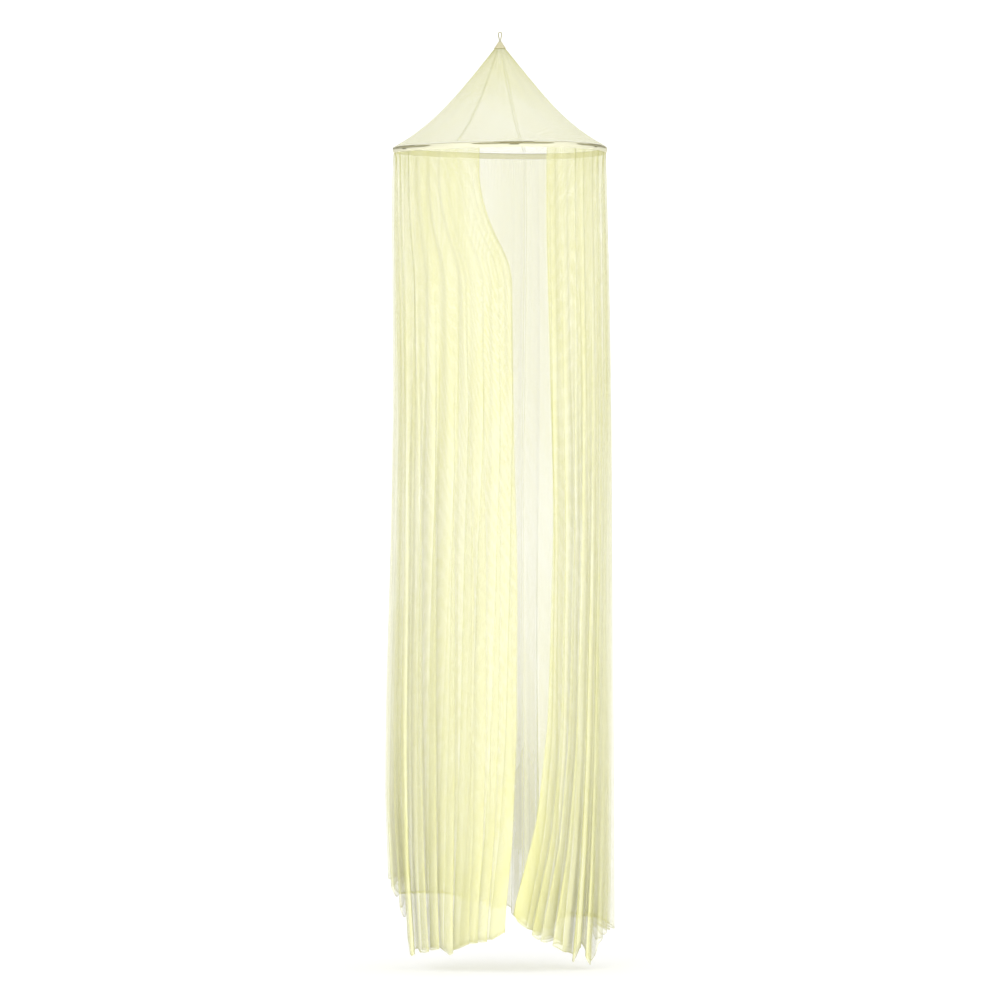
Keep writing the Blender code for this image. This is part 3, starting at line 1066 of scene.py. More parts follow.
@dataclass
class GatheredWall:
    """The two wide widths of net that hang from the casing, with the door gap between them."""

    line: HoopLine
    seam: float = 166.0
    casing_foot: float = 0.0106
    edge_gap: float = 0.0005
    seam_gap: float = 0.0008
    drift_start_reach: float = 54.0
    drift_end_reach: float = 70.0
    fold_wander: float = 1.4
    wander_round: float = 0.11
    wander_down: float = 4.0
    turn_at_casing: float = 0.5
    turn_opens_by: float = 0.05
    half_way: float = 0.5
    lean_in_full: float = 0.6
    fold_unevenness: float = 0.30
    fold_rhythm: float = 2.3
    short_fold: float = 0.16
    short_fold_rhythm: float = 1.9
    hem_reach: float = 0.302
    hem_sides: float = 0.10
    columns_a_fold: int = 32
    integral_steps: int = 96
    levels_down: int = 96
    softness: float = 0.02
    sewn_share: float = 0.004
    sewn_depth: float = 0.0012
    shirring_depth: float = 0.0010
    shirring_reach: float = 0.07
    shirrs_a_fold: float = 7.0
    ripple_depth: float = 0.0009
    ripples_a_fold: float = 3.0
    ripples_start: float = 0.05
    crease_fade: float = 0.12
    even_share: float = 0.6
    top_power: float = 1.8
    usual_layers: float = 3.0
    most_layers: float = 5.0
    layer_contrast: float = 0.05
    streak: float = 0.14
    sideways_ahead: float = 0.15
    frontal_reach: float = 0.25
    facing_reach: float = 0.6
    azimuth_cell: float = 0.5
    across_cell: float = 0.0020
    most_across: float = 2.4
    sheer_middle: float = 0.88
    sheer_reach: float = 40.0
    sheer_sides: float = 0.55
    side_reach: float = 0.60
    seam_gather: float = 1.10
    seam_gather_from: float = 0.7
    seam_gather_reach: float = 0.15
    seam_reach: float = 9.0
    turned: Turned = Turned()
    seamed: Turned = Turned(width=0.0018)
    turned_density: float = 0.22
    cut_width: float = 3.45
    cut_length: float = 2.16
    cut_area_left: float = 4.9
    cut_area_right: float = 3.6
    stretches: tuple[Stretch, ...] = (
        Stretch(26.0, 4, 56, 84, 106, -1.45),
        Stretch(54.0, 4, 54, 78, 104, -1.75),
        Stretch(88.0, 4, 46, 72, 101, -1.10),
        Stretch(128.0, 4, 36, 66, 99, -1.30),
        Stretch(166.0, 4, 30, 60, 98, 0.10),
        Stretch(206.0, 4, 38, 68, 100, 1.30),
        Stretch(248.0, 4, 50, 76, 102, 1.20),
        Stretch(286.0, 3, 46, 82, 106, 1.80),
        Stretch(316.0, 5, 32, 84, 109, 1.90),
        Stretch(349.0, 0, 32, 84, 109, 1.70),
    )
    hem: tuple[HemPoint, ...] = (
        HemPoint(5.0, 2.014, 0.008),
        HemPoint(9.0, 2.052, 0.010),
        HemPoint(14.0, 2.078, 0.014),
        HemPoint(19.0, 2.100, 0.020),
        HemPoint(30.0, 2.122, 0.024),
        HemPoint(40.0, 2.166, 0.018),
        HemPoint(44.5, 2.128, 0.016),
        HemPoint(54.0, 2.184, 0.018),
        HemPoint(60.0, 2.118, 0.016),
        HemPoint(72.0, 2.092, 0.014),
        HemPoint(90.0, 2.090, 0.015),
        HemPoint(120.0, 2.070, 0.020),
        HemPoint(142.0, 2.080, 0.020),
        HemPoint(160.0, 2.128, 0.020),
        HemPoint(176.0, 2.064, 0.020),
        HemPoint(211.0, 2.013, 0.010),
        HemPoint(244.0, 2.006, 0.010),
        HemPoint(268.0, 1.946, 0.010),
        HemPoint(284.0, 1.962, 0.010),
        HemPoint(295.0, 2.006, 0.010),
        HemPoint(303.0, 2.060, 0.020),
        HemPoint(308.0, 2.150, 0.010),
        HemPoint(328.0, 2.126, 0.006),
        HemPoint(334.0, 2.142, 0.010),
        HemPoint(344.0, 2.110, 0.006),
        HemPoint(356.0, 2.102, 0.008),
        HemPoint(362.0, 2.078, 0.010),
    )
    levels: tuple[Level, ...] = (
        Level(0.00, 0.2850, 0.2850, -11.0, 26.0, 2.10, 1.75),
        Level(0.05, 0.2905, 0.2895, -11.0, 26.0, 2.00, 1.75),
        Level(0.10, 0.2905, 0.2925, -5.0, 26.0, 2.00, 1.75),
        Level(0.15, 0.2895, 0.2955, 6.0, 26.5, 2.05, 1.75),
        Level(0.32, 0.2875, 0.3030, 5.5, 28.5, 2.10, 1.65),
        Level(0.50, 0.2965, 0.3065, 3.0, 31.5, 1.95, 1.25),
        Level(0.75, 0.3130, 0.3085, -1.0, 31.0, 1.95, 1.90),
        Level(0.88, 0.3160, 0.3085, -5.5, 27.0, 2.85, 1.85),
        Level(0.94, 0.3120, 0.3085, -9.25, 22.0, 3.90, 1.50),
        Level(1.00, 0.3080, 0.3085, -13.0, 17.0, 4.00, 1.10),
    )
    creases: tuple[Crease, ...] = (
        Crease(0.35, 0.02, 0.55, 0.0011, 0.10),
        Crease(1.60, 0.05, 0.90, -0.0010, 0.12, 0.3),
        Crease(2.20, 0.00, 0.40, 0.0012, 0.09),
        Crease(3.70, 0.20, 1.00, 0.0011, 0.14, -0.2),
        Crease(5.10, 0.00, 0.60, -0.0011, 0.10, 0.2),
        Crease(6.90, 0.30, 1.00, 0.0012, 0.15),
        Crease(8.40, 0.05, 0.70, 0.0010, 0.12, -0.3),
        Crease(10.30, 0.00, 0.45, -0.0012, 0.11),
        Crease(12.60, 0.25, 1.00, 0.0011, 0.16, 0.2),
        Crease(14.20, 0.00, 0.80, -0.0010, 0.12),
        Crease(16.80, 0.10, 0.75, 0.0012, 0.12, -0.2),
        Crease(18.50, 0.00, 0.50, 0.0010, 0.10),
        Crease(20.70, 0.30, 1.00, -0.0012, 0.15, 0.3),
        Crease(22.30, 0.00, 0.60, 0.0011, 0.11),
        Crease(24.60, 0.10, 0.95, -0.0010, 0.14, -0.2),
        Crease(26.10, 0.00, 0.40, 0.0012, 0.10),
        Crease(27.90, 0.25, 1.00, 0.0010, 0.16, 0.2),
        Crease(29.40, 0.02, 0.60, -0.0011, 0.11),
        Crease(31.30, 0.00, 0.85, 0.0012, 0.12, 0.2),
        Crease(33.20, 0.05, 0.55, 0.0011, 0.10),
        Crease(34.60, 0.20, 1.00, -0.0012, 0.13, -0.2),
        Crease(35.50, 0.02, 0.70, 0.0010, 0.09),
    )

    def folds(self) -> list[Fold]:
        """List the folds in order round the hoop, each of a slightly different width."""
        found = []
        for stretch, following in zip(self.stretches, self.stretches[1:]):
            first = len(found)
            rhythm = [math.sin(self.fold_rhythm * (first + i)) for i in range(stretch.folds)]
            widths = [1.0 + self.fold_unevenness * beat for beat in rhythm]
            edge = stretch.azimuth
            for width in widths:
                reach = (following.azimuth - stretch.azimuth) * width / sum(widths)
                found.append(Fold(edge, edge + reach, stretch, len(found)))
                edge += reach
        return found

    def swing(self, turn: float) -> tuple[list[tuple[float, float]], float]:
        """Trace one fold that swings up to a turn from its line.

        Args:
            turn: how far it swings, in degrees.

        Returns:
            Points along and out from 0 to 1 at even steps of cloth, and its depth for each unit of length.
        """
        most = math.radians(turn)
        along, out = [0.0], [0.0]
        for i in range(self.integral_steps):
            heading = most * math.sin(math.tau * (i + 0.5) / self.integral_steps)
            along.append(along[-1] + math.cos(heading))
            out.append(out[-1] + math.sin(heading))
        length, depth = along[-1], max(out)
        stride = self.integral_steps // self.columns_a_fold
        return [(a / length, b / depth) for a, b in zip(along[::stride], out[::stride])], depth / length

    def turn_at(self, stretch: Stretch, share: float) -> float:
        """Say how far the cloth swings in a stretch's folds, a share of the way down."""
        if share < self.turn_opens_by:
            opened = self.turn_at_casing + (1.0 - self.turn_at_casing) * share / self.turn_opens_by
            return stretch.turn_top * opened
        if share < self.half_way:
            lower = (share - self.turn_opens_by) / (self.half_way - self.turn_opens_by)
            return stretch.turn_top + lower * (stretch.turn_middle - stretch.turn_top)
        lower = (share - self.half_way) / (1.0 - self.half_way)
        return stretch.turn_middle + lower * (stretch.turn_hem - stretch.turn_middle)

    def drifted(self, azimuth: float, share: float) -> float:
        """Say where cloth that starts at an azimuth on the casing hangs, a share of the way down."""
        wall_start, wall_end = self.stretches[0].azimuth, self.stretches[-1].azimuth
        right = read_soft(self.levels, "share", "door_right", share, self.softness) - wall_start
        left = read_soft(self.levels, "share", "door_left", share, self.softness) + 360.0 - wall_end
        near_right = ease((wall_start + self.drift_start_reach - azimuth) / self.drift_start_reach)
        near_left = ease((azimuth - wall_end + self.drift_end_reach) / self.drift_end_reach)
        inner = 1.0 - max(near_right, near_left)
        wave = math.sin(self.wander_round * azimuth + self.wander_down * share)
        wander = self.fold_wander * inner * math.sin(math.pi * share) * wave
        return azimuth + right * near_right + left * near_left + wander

    def outer_reach(self, azimuth: float, reaches: tuple[float, float]) -> float:
        """Give the radius that the outer folds reach, from the reaches on the left and right."""
        left, right = reaches
        return (left + right) / 2.0 + (right - left) / 2.0 * math.sin(math.radians(azimuth))

    def level_line(self, folds: list[Fold], share: float) -> list[LinePoint]:
        """Trace the wall's line in plan, from one door edge round to the other.

        Args:
            folds: the wall's folds.
            share: how far down, from 0 at the casing to 1 at the hem.

        Returns:
            The line's points.
        """
        reaches = (
            read_soft(self.levels, "share", "left", share, self.softness),
            read_soft(self.levels, "share", "right", share, self.softness),
        )
        shaped = []
        for fold in folds:
            points, depth_share = self.swing(self.turn_at(fold.stretch, share))
            start, end = self.drifted(fold.start, share), self.drifted(fold.end, share)
            chord = math.radians(end - start) * self.outer_reach((start + end) / 2.0, reaches)
            shaped.append((fold, points, start, end, chord * depth_share))
        usual = sum(one[-1] for one in shaped) / len(shaped)
        found = []
        for k, (fold, points, start, end, depth) in enumerate(shaped):
            before = (shaped[max(k - 1, 0)][-1] + depth) / 2.0
            after = (shaped[min(k + 1, len(shaped) - 1)][-1] + depth) / 2.0
            shortfall = self.short_fold * depth * (1.0 + math.sin(self.short_fold_rhythm * fold.number))
            last = fold is folds[-1]
            for i, (along, out) in enumerate(points if last else points[:-1]):
                inner_depth = before if 2 * i < self.columns_a_fold else after
                azimuth = start + along * (end - start)
                inset = (1.0 - out) * inner_depth + out * shortfall
                radius = self.outer_reach(azimuth, reaches) - inset
                sewn_at = fold.start + along * (fold.end - fold.start)
                lean = read_table(self.stretches, "azimuth", "lean", sewn_at)
                leaned = lean * (usual - inset) * ease(share / self.lean_in_full)
                place = fold.number + i / self.columns_a_fold
                found.append(LinePoint(azimuth + math.degrees(leaned / radius), radius, out, place))
        return found

    def drawn_in(self, line: list[LinePoint], share: float) -> list[float]:
        """Say how densely the cloth lies at each point of a line, so that overlapping folds stay sheer.

        Args:
            line: the wall's line in plan.
            share: how far down it hangs.

        Returns:
            The density of each point, 1 where the cloth lies flat.
        """
        radial = layers_seen([at.azimuth for at in line], self.azimuth_cell)
        across = []
        for _, run in groupby(line, key=lambda at: math.cos(math.radians(at.azimuth)) > 0.0):
            places = [at.radius * math.sin(math.radians(at.azimuth)) for at in run]
            across.extend(layers_seen(places, self.across_cell))
        front = read_soft(self.levels, "share", "front", share, self.softness)
        back = read_soft(self.levels, "share", "back", share, self.softness)
        low_down = ease((share - self.half_way) / (1.0 - self.half_way))
        found = []
        for at, around, seen in zip(line, radial, across):
            ahead = math.cos(math.radians(at.azimuth))
            frontal = min(seen, self.most_across * around)
            sideways = max(around, frontal)
            face_on = ease((abs(ahead) - self.sideways_ahead) / self.frontal_reach)
            layers = sideways + face_on * (frontal - sideways)
            facing = ease(0.5 + ahead / self.facing_reach)
            off_middle = abs((at.azimuth + 180.0) % 360.0 - 180.0) / self.sheer_reach
            sheerer = self.sheer_middle + (1.0 - self.sheer_middle) * max(ease(off_middle), low_down)
            usual = back + facing * (front * sheerer - back)
            # Near the sides the cloth is drawn sheerer, so more white shows through: painted light that
            # lightens the shade on the sideways-facing folds.
            usual *= self.sheer_sides + (1.0 - self.sheer_sides) * ease(abs(ahead) / self.side_reach)
            off_seam = (at.azimuth - self.seam) / self.seam_reach
            low_seam = ease((share - self.seam_gather_from) / self.seam_gather_reach)
            usual += self.seam_gather * low_seam * math.exp(-off_seam * off_seam)
            streak = 1.0 + self.streak * math.sin(1.7 * at.place + 2.0 * math.sin(0.6 * at.place))
            shown = 1.0 + self.layer_contrast * (min(layers, self.most_layers) - self.usual_layers) / 2.0
            found.append(usual * streak * shown / layers)
        return found

    def azimuth_seen(self, at: LinePoint) -> float:
        """Give the outer azimuth that a point stands behind, as seen from the front or the back."""
        angle = math.radians(at.azimuth)
        across, along = at.radius * math.sin(angle), at.radius * math.cos(angle)
        seen = math.degrees(math.asin(max(-1.0, min(1.0, across / self.hem_reach))))
        if along < 0.0:
            seen = 180.0 - seen
        turned = (seen - at.azimuth + 180.0) % 360.0 - 180.0
        return at.azimuth + turned * ease(abs(along) / self.hem_sides)

    def relief(self, place: float, share: float) -> float:
        """Say how far the cloth stands out from its fold: shirring at the casing, ripples and creases.

        Args:
            place: where along the cloth, in folds.
            share: how far down.

        Returns:
            The height in metres.
        """
        shirr = math.sin(math.tau * self.shirrs_a_fold * place + 1.5 * math.sin(2.1 * place))
        height = self.shirring_depth * shirr * (1.0 - ease(share / self.shirring_reach))
        wander = 2.2 * math.sin(1.3 * place + 1.5 * share)
        ripple = math.sin(math.tau * self.ripples_a_fold * place + wander)
        swell = 0.55 + 0.45 * math.sin(0.9 * place + 5.0 * share)
        height += self.ripple_depth * ripple * swell * ease(share / self.ripples_start)
        for crease in self.creases:
            off = (place - crease.place - crease.slant * share) / crease.width
            if abs(off) < 3.0 and crease.top <= share <= crease.bottom:
                reach = self.crease_fade * (crease.bottom - crease.top)
                fade = ease((share - crease.top) / reach) * ease((crease.bottom - share) / reach)
                height += crease.depth * fade * math.exp(-off * off)
        return height

    def shares(self) -> list[float]:
        """List the levels of the sheet's rows, closer together at the casing."""
        even = [i / self.levels_down for i in range(self.levels_down + 1)]
        return [self.even_share * at + (1.0 - self.even_share) * at**self.top_power for at in even]

    def rows(self) -> tuple[list[Row], list[list[float]]]:
        """Lay the rows of points down the whole wall, from the casing's foot to the uneven hem.

        Returns:
            The rows, and how densely the cloth lies at each of their points.
        """
        folds = self.folds()
        shares = self.shares()
        lines = [self.level_line(folds, share) for share in shares]
        drawn = [self.drawn_in(line, share) for line, share in zip(lines, shares)]
        tops = [self.line.height(at.azimuth) - self.casing_foot - self.edge_gap for at in lines[0]]
        bottoms = []
        for at in lines[-1]:
            seen = self.azimuth_seen(at)
            drop = read_table(self.hem, "azimuth", "drop", seen)
            rise = read_table(self.hem, "azimuth", "rise", seen)
            bottoms.append(self.line.level - drop + (1.0 - at.out) * rise)
        found = []
        for share, line in zip(shares, lines):
            sewn = 1.0 - ease(share / self.sewn_share)
            plan = []
            for at in line:
                held = self.line.radius + self.sewn_depth * (2.0 * at.out - 1.0)
                plan.append(polar(at.azimuth, at.radius + sewn * (held - at.radius), 0.0))
            row = []
            for j, (at, top, bottom) in enumerate(zip(line, tops, bottoms)):
                ahead = plan[min(j + 1, len(plan) - 1)] - plan[max(j - 1, 0)]
                outward = Vector((ahead.y, -ahead.x, 0.0)).normalized()
                point = plan[j] + self.relief(at.place, share) * outward
                row.append(Vector((point.x, point.y, top + share * (bottom - top))))
            found.append(row)
        return found, drawn

    def panel(
        self, side: Side, rows: list[Row], drawn: list[list[float]], finish: bpy.types.Material
    ) -> bpy.types.Object:
        """Make one width of net, with its door edge, back seam edge and hem turned under.

        Args:
            side: which width.
            rows: the whole wall's rows.
            drawn: how densely the cloth lies at each of their points.
            finish: the net's material.

        Returns:
            The width of net.
        """
        seam = sum(stretch.folds for stretch in self.stretches if stretch.azimuth < self.seam)
        seam *= self.columns_a_fold
        span = slice(0, seam + 1) if side is Side.RIGHT else slice(seam, None)
        part = [row[span] for row in rows]
        for row in part:
            end, inner = (-1, -2) if side is Side.RIGHT else (0, 1)
            share = self.seam_gap / 2.0 / (row[inner] - row[end]).length
            row[end] = row[end].lerp(row[inner], min(share, 0.5))
        edges = (self.turned, self.seamed) if side is Side.RIGHT else (self.seamed, self.turned)
        part = turn_hem(turn_sides(part, *edges), self.turned)
        under = [self.turned_density] * self.turned.layers
        cloth = [under + line[span] + under for line in drawn]
        cloth += [[self.turned_density] * len(part[0])] * self.turned.layers
        layers = self.turned.layers
        sheet = ClothSheet("net_wall_" + side.value, part, cloth, side_layers=layers, hem_layers=layers)
        made = sheet.build(finish)
        return made

    def build(self, finish: bpy.types.Material) -> None:
        """Make both widths and hand them over.

        Args:
            finish: the net's material.
        """
        rows, drawn = self.rows()
        for side in Side:
            made = self.panel(side, rows, drawn, finish)
            hand_over(made, "wall_" + side.value)


# ---------------------------------------------------------------- roof


@dataclass
class Roof:
    """The drawn-in cone of net in two widths, seamed from the tip to the hoop."""

    line: HoopLine
    apex: float = -0.0250
    straight_share: float = 0.795
    sweep_power: float = 4.6
    edge_inset: float = 0.0012
    edge_level: float = 0.0070
    gathers: int = 16
    gather_depth: float = 0.0020
    gathers_start: float = 0.4
    gathers_fade: float = 0.6
    sways: int = 5
    sway_share: float = 0.5
    seam_front: float = -24.0
    seam_back: float = 166.0
    seam_gap: float = 0.0005
    first_row: float = 0.026
    levels_down: int = 44
    columns_a_gather: int = 14
    top_power: float = 1.25
    pleats: int = 40
    pleat_depth: float = 0.0009
    pleats_end: float = 0.5
    pleats_reach: float = 0.42
    pleats_in_full: float = 0.02
    puckers: int = 96
    pucker_depth: float = 0.0006
    puckers_start: float = 0.9
    puckers_reach: float = 0.08
    cut_width: float = 0.98
    cut_length: float = 0.41
    turned: Turned = Turned(width=0.0030, most_share=0.03)
    turned_density: float = 0.30
    density_at_hoop: float = 0.90
    density_at_tip: float = 1.05
    density_reach: float = 0.75
    density_at_sides: float = 0.30

    def radius(self, share: float) -> float:
        """Give the roof's radius, a share of the way from its apex down to the hoop."""
        edge = self.line.radius - self.edge_inset
        return edge * (self.straight_share * share + (1.0 - self.straight_share) * share**self.sweep_power)

    def point(self, azimuth: float, share: float) -> Vector:
        """Give a point of the roof, with its gathers, the pleats at the tip and the puckers at the hoop."""
        edge = self.line.height(azimuth) + self.edge_level
        height = self.apex + share * (edge - self.apex)
        turn = math.radians(azimuth)
        ripple = math.sin(self.gathers * turn) + self.sway_share * math.sin(self.sways * turn + 0.7)
        fading = ease((share - self.gathers_fade) / (1.0 - self.gathers_fade))
        fade = min(1.0, share / self.gathers_start) * (1.0 - fading)
        out = self.gather_depth * fade * ripple
        near_tip = ease((self.pleats_end - share) / self.pleats_reach)
        near_tip *= min(1.0, self.radius(share) / self.pleats_in_full)
        out += self.pleat_depth * near_tip * math.sin(self.pleats * turn + 1.2 * math.sin(3.0 * turn))
        near_hoop = ease((share - self.puckers_start) / self.puckers_reach)
        out += self.pucker_depth * near_hoop * math.sin(self.puckers * turn + 2.0 * math.sin(5.0 * turn))
        return polar(azimuth, self.radius(share) + out, height)

    def panel(self, side: Side, finish: bpy.types.Material) -> bpy.types.Object:
        """Make one width of the cone, its two seam edges turned under.

        Args:
            side: which width.
            finish: the net's material.

        Returns:
            The width of net.
        """
        start, end = (self.seam_front, self.seam_back)
        if side is Side.LEFT:
            start, end = self.seam_back, self.seam_front + 360.0
        steps = round((end - start) / 360.0 * self.gathers * self.columns_a_gather)
        azimuths = [start + (end - start) * i / steps for i in range(steps + 1)]
        even = [i / self.levels_down for i in range(self.levels_down + 1)]
        shares = [self.first_row + (1.0 - self.first_row) * at**self.top_power for at in even]
        rows = [[self.point(azimuth, share) for azimuth in azimuths] for share in shares]
        for row in rows:
            for edge, inner in ((0, 1), (-1, -2)):
                gap = self.seam_gap / 2.0 / (row[inner] - row[edge]).length
                row[edge] = row[edge].lerp(row[inner], min(gap, 0.5))
        rows = turn_sides(rows, self.turned, self.turned)
        under = [self.turned_density] * self.turned.layers
        drawn = []
        for share in shares:
            usual = self.density_at_hoop + self.density_at_tip * (1.0 - ease(share / self.density_reach))
            sides = [self.density_at_sides * math.sin(math.radians(azimuth)) ** 2 for azimuth in azimuths]
            drawn.append(under + [usual + extra for extra in sides] + under)
        sheet = ClothSheet("net_roof_" + side.value, rows, drawn, side_layers=self.turned.layers)
        made = sheet.build(finish)
        return made

    def build(self, finish: bpy.types.Material) -> None:
        """Make both widths and hand them over.

        Args:
            finish: the net's material.
        """
        for side in Side:
            made = self.panel(side, finish)
            hand_over(made, "roof_" + side.value)


# ---------------------------------------------------------------- tip


@dataclass
class TipCap:
    """The small pleated cone of doubled cloth, sewn over the roof's gathered tip."""

    roof: Roof
    rows_at: tuple[tuple[float, float], ...] = (
        (0.004, 0.0038),
        (0.010, 0.0034),
        (0.017, 0.0030),
        (0.024, 0.0026),
        (0.034, 0.0024),
        (0.044, 0.0023),
        (0.053, 0.0022),
        (0.062, 0.0022),
    )
    steps: int = 120
    pleats: int = 12
    pleat_depth: float = 0.0004
    cloth: float = 0.0010

    def build(self, finish: bpy.types.Material) -> None:
        """Lay the cone over the tip, give it its thickness and hand it over.

        Args:
            finish: the tape's material.
        """
        rows = []
        for share, standoff in self.rows_at:
            height = self.roof.apex + share * (self.roof.line.level - self.roof.apex) + standoff / 2.0
            row = []
            for i in range(self.steps):
                azimuth = 360.0 * i / self.steps
                pleat = self.pleat_depth * math.sin(self.pleats * math.radians(azimuth))
                row.append(polar(azimuth, self.roof.radius(share) + standoff + pleat, height))
            rows.append(row)
        sheet = ClothSheet("tip_cap", rows, [[1.0] * self.steps] * len(rows), closed=True)
        made = sheet.build(finish)
        thicken(made, self.cloth)
        hand_over(made, "apex_cap")


@dataclass
class HangingLoop:
    """A twisted cord bent into a narrow eye, its ends side by side in the cap."""

    radius: float = 0.0015
    eye_half_width: float = 0.0046
    foot_half_width: float = 0.0019
    foot: float = -0.0360
    shoulder: float = -0.0190
    strands: int = 3
    strand_radius: float = 0.00074
    twist_pitch: float = 0.0070
    points_a_turn: int = 14
    foot_steps: int = 3
    bend_steps: int = 8
    crown_steps: int = 10

    def route(self) -> Row:
        """Trace the cord's middle from one foot over the crown to the other."""
        half = []
        for i in range(self.foot_steps + 1):
            up = (self.shoulder - self.foot) * i / self.foot_steps
            half.append((self.foot_half_width, self.foot + up))
        crown = self.radius - self.eye_half_width
        for i in range(1, self.bend_steps + 1):
            share = i / self.bend_steps
            width = self.foot_half_width + (self.eye_half_width - self.foot_half_width) * ease(share)
            half.append((width, self.shoulder + share * (crown - self.shoulder)))
        for i in range(1, self.crown_steps):
            angle = math.pi / 2.0 * i / self.crown_steps
            up = self.eye_half_width * math.sin(angle)
            half.append((self.eye_half_width * math.cos(angle), crown + up))
        left = [Vector((-x, 0.0, z)) for x, z in half]
        right = [Vector((x, 0.0, z)) for x, z in reversed(half)]
        return left + [Vector((0.0, 0.0, self.radius))] + right

    def strand(self, route: Row, phase: float) -> Row:
        """Wind one strand round the cord's middle.

        Args:
            route: the cord's middle.
            phase: where the strand starts, in radians.

        Returns:
            The strand's points.
        """
        lengths = [0.0]
        for here, after in zip(route, route[1:]):
            lengths.append(lengths[-1] + (after - here).length)
        count = round(lengths[-1] / self.twist_pitch * self.points_a_turn)
        found, k = [], 0
        for i in range(count + 1):
            at = lengths[-1] * i / count
            while k < len(route) - 2 and lengths[k + 1] < at:
                k += 1
            share = (at - lengths[k]) / (lengths[k + 1] - lengths[k])
            ahead = (route[k + 1] - route[k]).normalized()
            across = ahead.cross(Vector((0.0, 1.0, 0.0))).normalized()
            turn = phase + math.tau * at / self.twist_pitch
            reach = self.radius - self.strand_radius
            swing = reach * (math.cos(turn) * across + math.sin(turn) * Vector((0.0, 1.0, 0.0)))
            found.append(route[k].lerp(route[k + 1], share) + swing)
        return found

    def build(self, finish: bpy.types.Material) -> None:
        """Wind the strands, join them into one cord and hand it over.

        Args:
            finish: the cord's material.
        """
        curve = bpy.data.curves.new("twisted_loop", "CURVE")
        curve.dimensions = "3D"
        curve.bevel_depth = self.strand_radius
        curve.bevel_resolution = 3
        curve.use_fill_caps = True
        route = self.route()
        for i in range(self.strands):
            points = self.strand(route, math.tau * i / self.strands)
            line = curve.splines.new("POLY")
            line.points.add(len(points) - 1)
            for knot, point in zip(line.points, points):
                knot.co = (*point, 1.0)
        cord = bpy.data.objects.new("twisted_loop", curve)
        bpy.context.scene.collection.objects.link(cord)
        only(cord)
        bpy.ops.object.convert(target="MESH")
        made = settle(bpy.context.object, "twisted_loop", finish)
        hand_over(made, "hanging_loop")


# ---------------------------------------------------------------- studio


@dataclass(frozen=True)
class Lamp:
    """A soft light: its place, the height on the canopy's axis that it looks at, its size and its power."""

    name: str
    place: tuple[float, float, float]
    aim: float
    size: tuple[float, float]
    watts: float


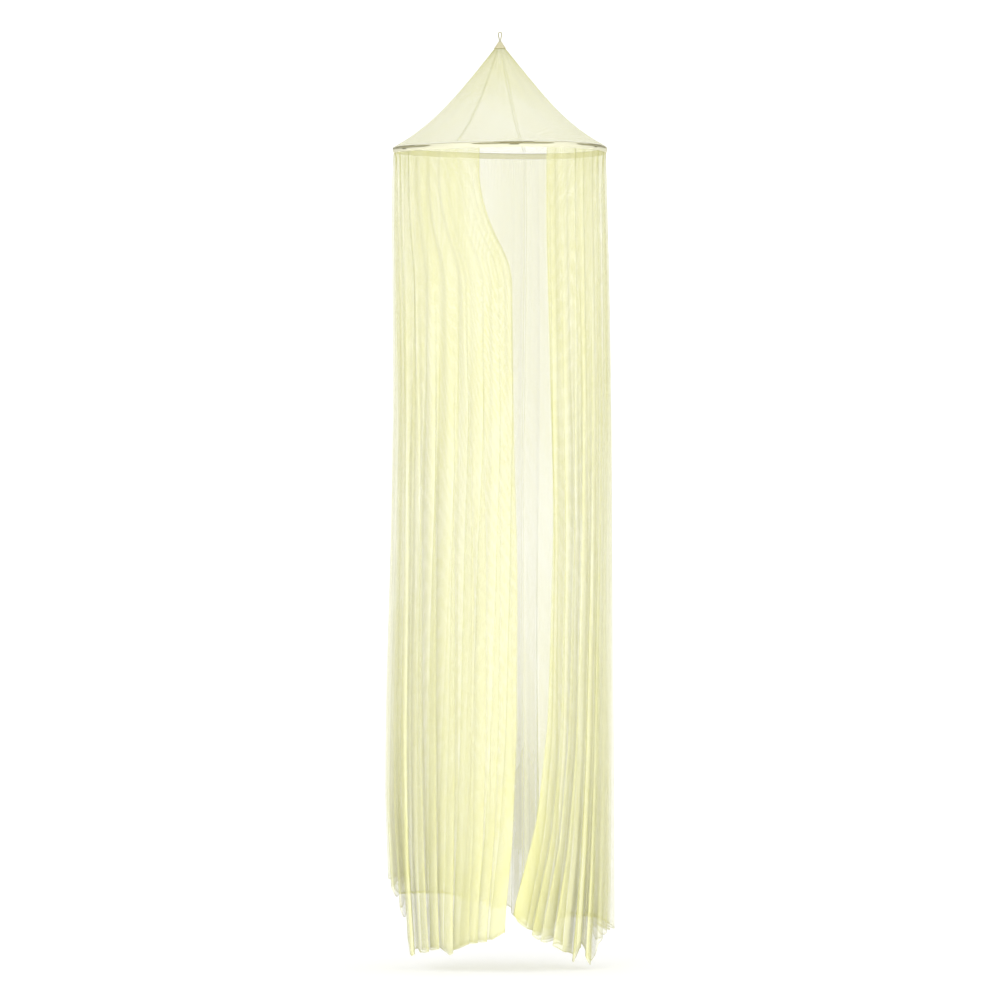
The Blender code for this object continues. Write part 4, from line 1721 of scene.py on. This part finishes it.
@dataclass
class Studio:
    """The paper tent round the canopy, the soft lights and the camera at the photograph's angle."""

    floor: float = -2.4950
    width: float = 34.0
    front: float = -22.0
    back: float = 7.0
    height: float = 13.0
    corner: float = 3.5
    corner_steps: int = 24
    eye_level: float = -1.2516
    distance: float = 16.0
    pixel: float = 0.00268
    frame_pixels: int = 1000
    sensor: float = 36.0
    layers_seen_through: int = 96
    bounces: int = 2
    lamps: tuple[Lamp, ...] = (
        Lamp("key", (-4.0, -7.0, 1.5), -1.2516, (5.0, 5.0), 73.0),
        Lamp("fill", (5.0, -6.0, -0.5), -2.4950, (4.0, 4.0), 60.0),
        Lamp("low", (0.0, -2.6, -2.43), -2.0, (3.0, 0.09), 62.0),
    )

    def tent(self, finish: bpy.types.Material) -> None:
        """Stand a closed box of paper round the set and round the corner between its floor and its back.

        Args:
            finish: the paper's material.
        """
        deselect_everything()
        middle = (0.0, (self.front + self.back) / 2.0, self.floor + self.height / 2.0)
        bpy.ops.mesh.primitive_cube_add(size=1.0, location=middle)
        paper = bpy.context.object
        paper.scale = (self.width, self.back - self.front, self.height)
        settle(paper, "studio_paper", finish)
        bpy.ops.object.mode_set(mode="EDIT")
        bpy.ops.mesh.select_mode(type="EDGE")
        bpy.ops.mesh.select_all(action="DESELECT")
        shape = bmesh.from_edit_mesh(paper.data)
        for edge in shape.edges:
            at_back = all(point.co.y > self.back - NEAR for point in edge.verts)
            edge.select_set(at_back and all(point.co.z < self.floor + NEAR for point in edge.verts))
        bmesh.update_edit_mesh(paper.data)
        bpy.ops.mesh.bevel(offset=self.corner, segments=self.corner_steps, affect="EDGES")
        bpy.ops.object.mode_set(mode="OBJECT")
        paper.data.shade_smooth()

    def hang(self, lamp: Lamp) -> None:
        """Hang a soft light, which no camera sees.

        Args:
            lamp: the light.
        """
        light = bpy.data.lights.new(lamp.name, "AREA")
        light.shape = "RECTANGLE"
        light.size, light.size_y = lamp.size
        light.energy = lamp.watts
        holder = bpy.data.objects.new(lamp.name, light)
        holder.location = lamp.place
        look = Vector((0.0, 0.0, lamp.aim)) - Vector(lamp.place)
        holder.rotation_euler = look.to_track_quat("-Z", "Y").to_euler()
        holder.visible_camera = False
        bpy.context.scene.collection.objects.link(holder)

    def camera(self) -> None:
        """Set the camera at the photograph's eye level and distance."""
        lens = bpy.data.cameras.new("camera")
        lens.sensor_width = self.sensor
        lens.lens = self.sensor * self.distance / (self.frame_pixels * self.pixel)
        holder = bpy.data.objects.new("camera", lens)
        holder.location = (0.0, -self.distance, self.eye_level)
        holder.rotation_euler = (math.pi / 2.0, 0.0, 0.0)
        bpy.context.scene.collection.objects.link(holder)
        bpy.context.scene.camera = holder

    def build(self, finish: bpy.types.Material) -> None:
        """Set up the whole studio.

        Args:
            finish: the paper's material.
        """
        self.camera()
        self.tent(finish)
        for lamp in self.lamps:
            self.hang(lamp)
        scene = bpy.context.scene
        scene.view_settings.view_transform = "Standard"
        scene.cycles.transparent_max_bounces = self.layers_seen_through
        scene.cycles.diffuse_bounces = self.bounces


# ---------------------------------------------------------------- all together


def main() -> None:
    """Build the canopy's pieces in order, then the studio round them."""
    logging.basicConfig(level=logging.INFO, format="%(name)s: %(message)s")
    net = NetFinish().material()
    tape = TapeFinish().material()
    line = HoopLine()
    casing = Casing(line)
    cloth = casing.build(tape)
    hand_over(cloth, "hoop_casing")
    olive = RodFinish("olive_rod", (0.46, 0.43, 0.23), (0.56, 0.53, 0.32)).material()
    hand_over(Rod(line).build(olive), "hoop")
    dark = RodFinish("dark_sleeve", (0.28, 0.255, 0.12), (0.38, 0.35, 0.19)).material()
    hand_over(Sleeve(line).build(dark), "hoop_sleeve")
    GatheredWall(line).build(net)
    roof = Roof(line)
    roof.build(net)
    tip = TapeFinish("tip_tape", (0.78, 0.73, 0.48), (0.62, 0.57, 0.34), 0.95).material()
    TipCap(roof).build(tip)
    HangingLoop().build(CordFinish().material())
    Studio().build(StageFinish().material())


if __name__ == "__main__":
    main()
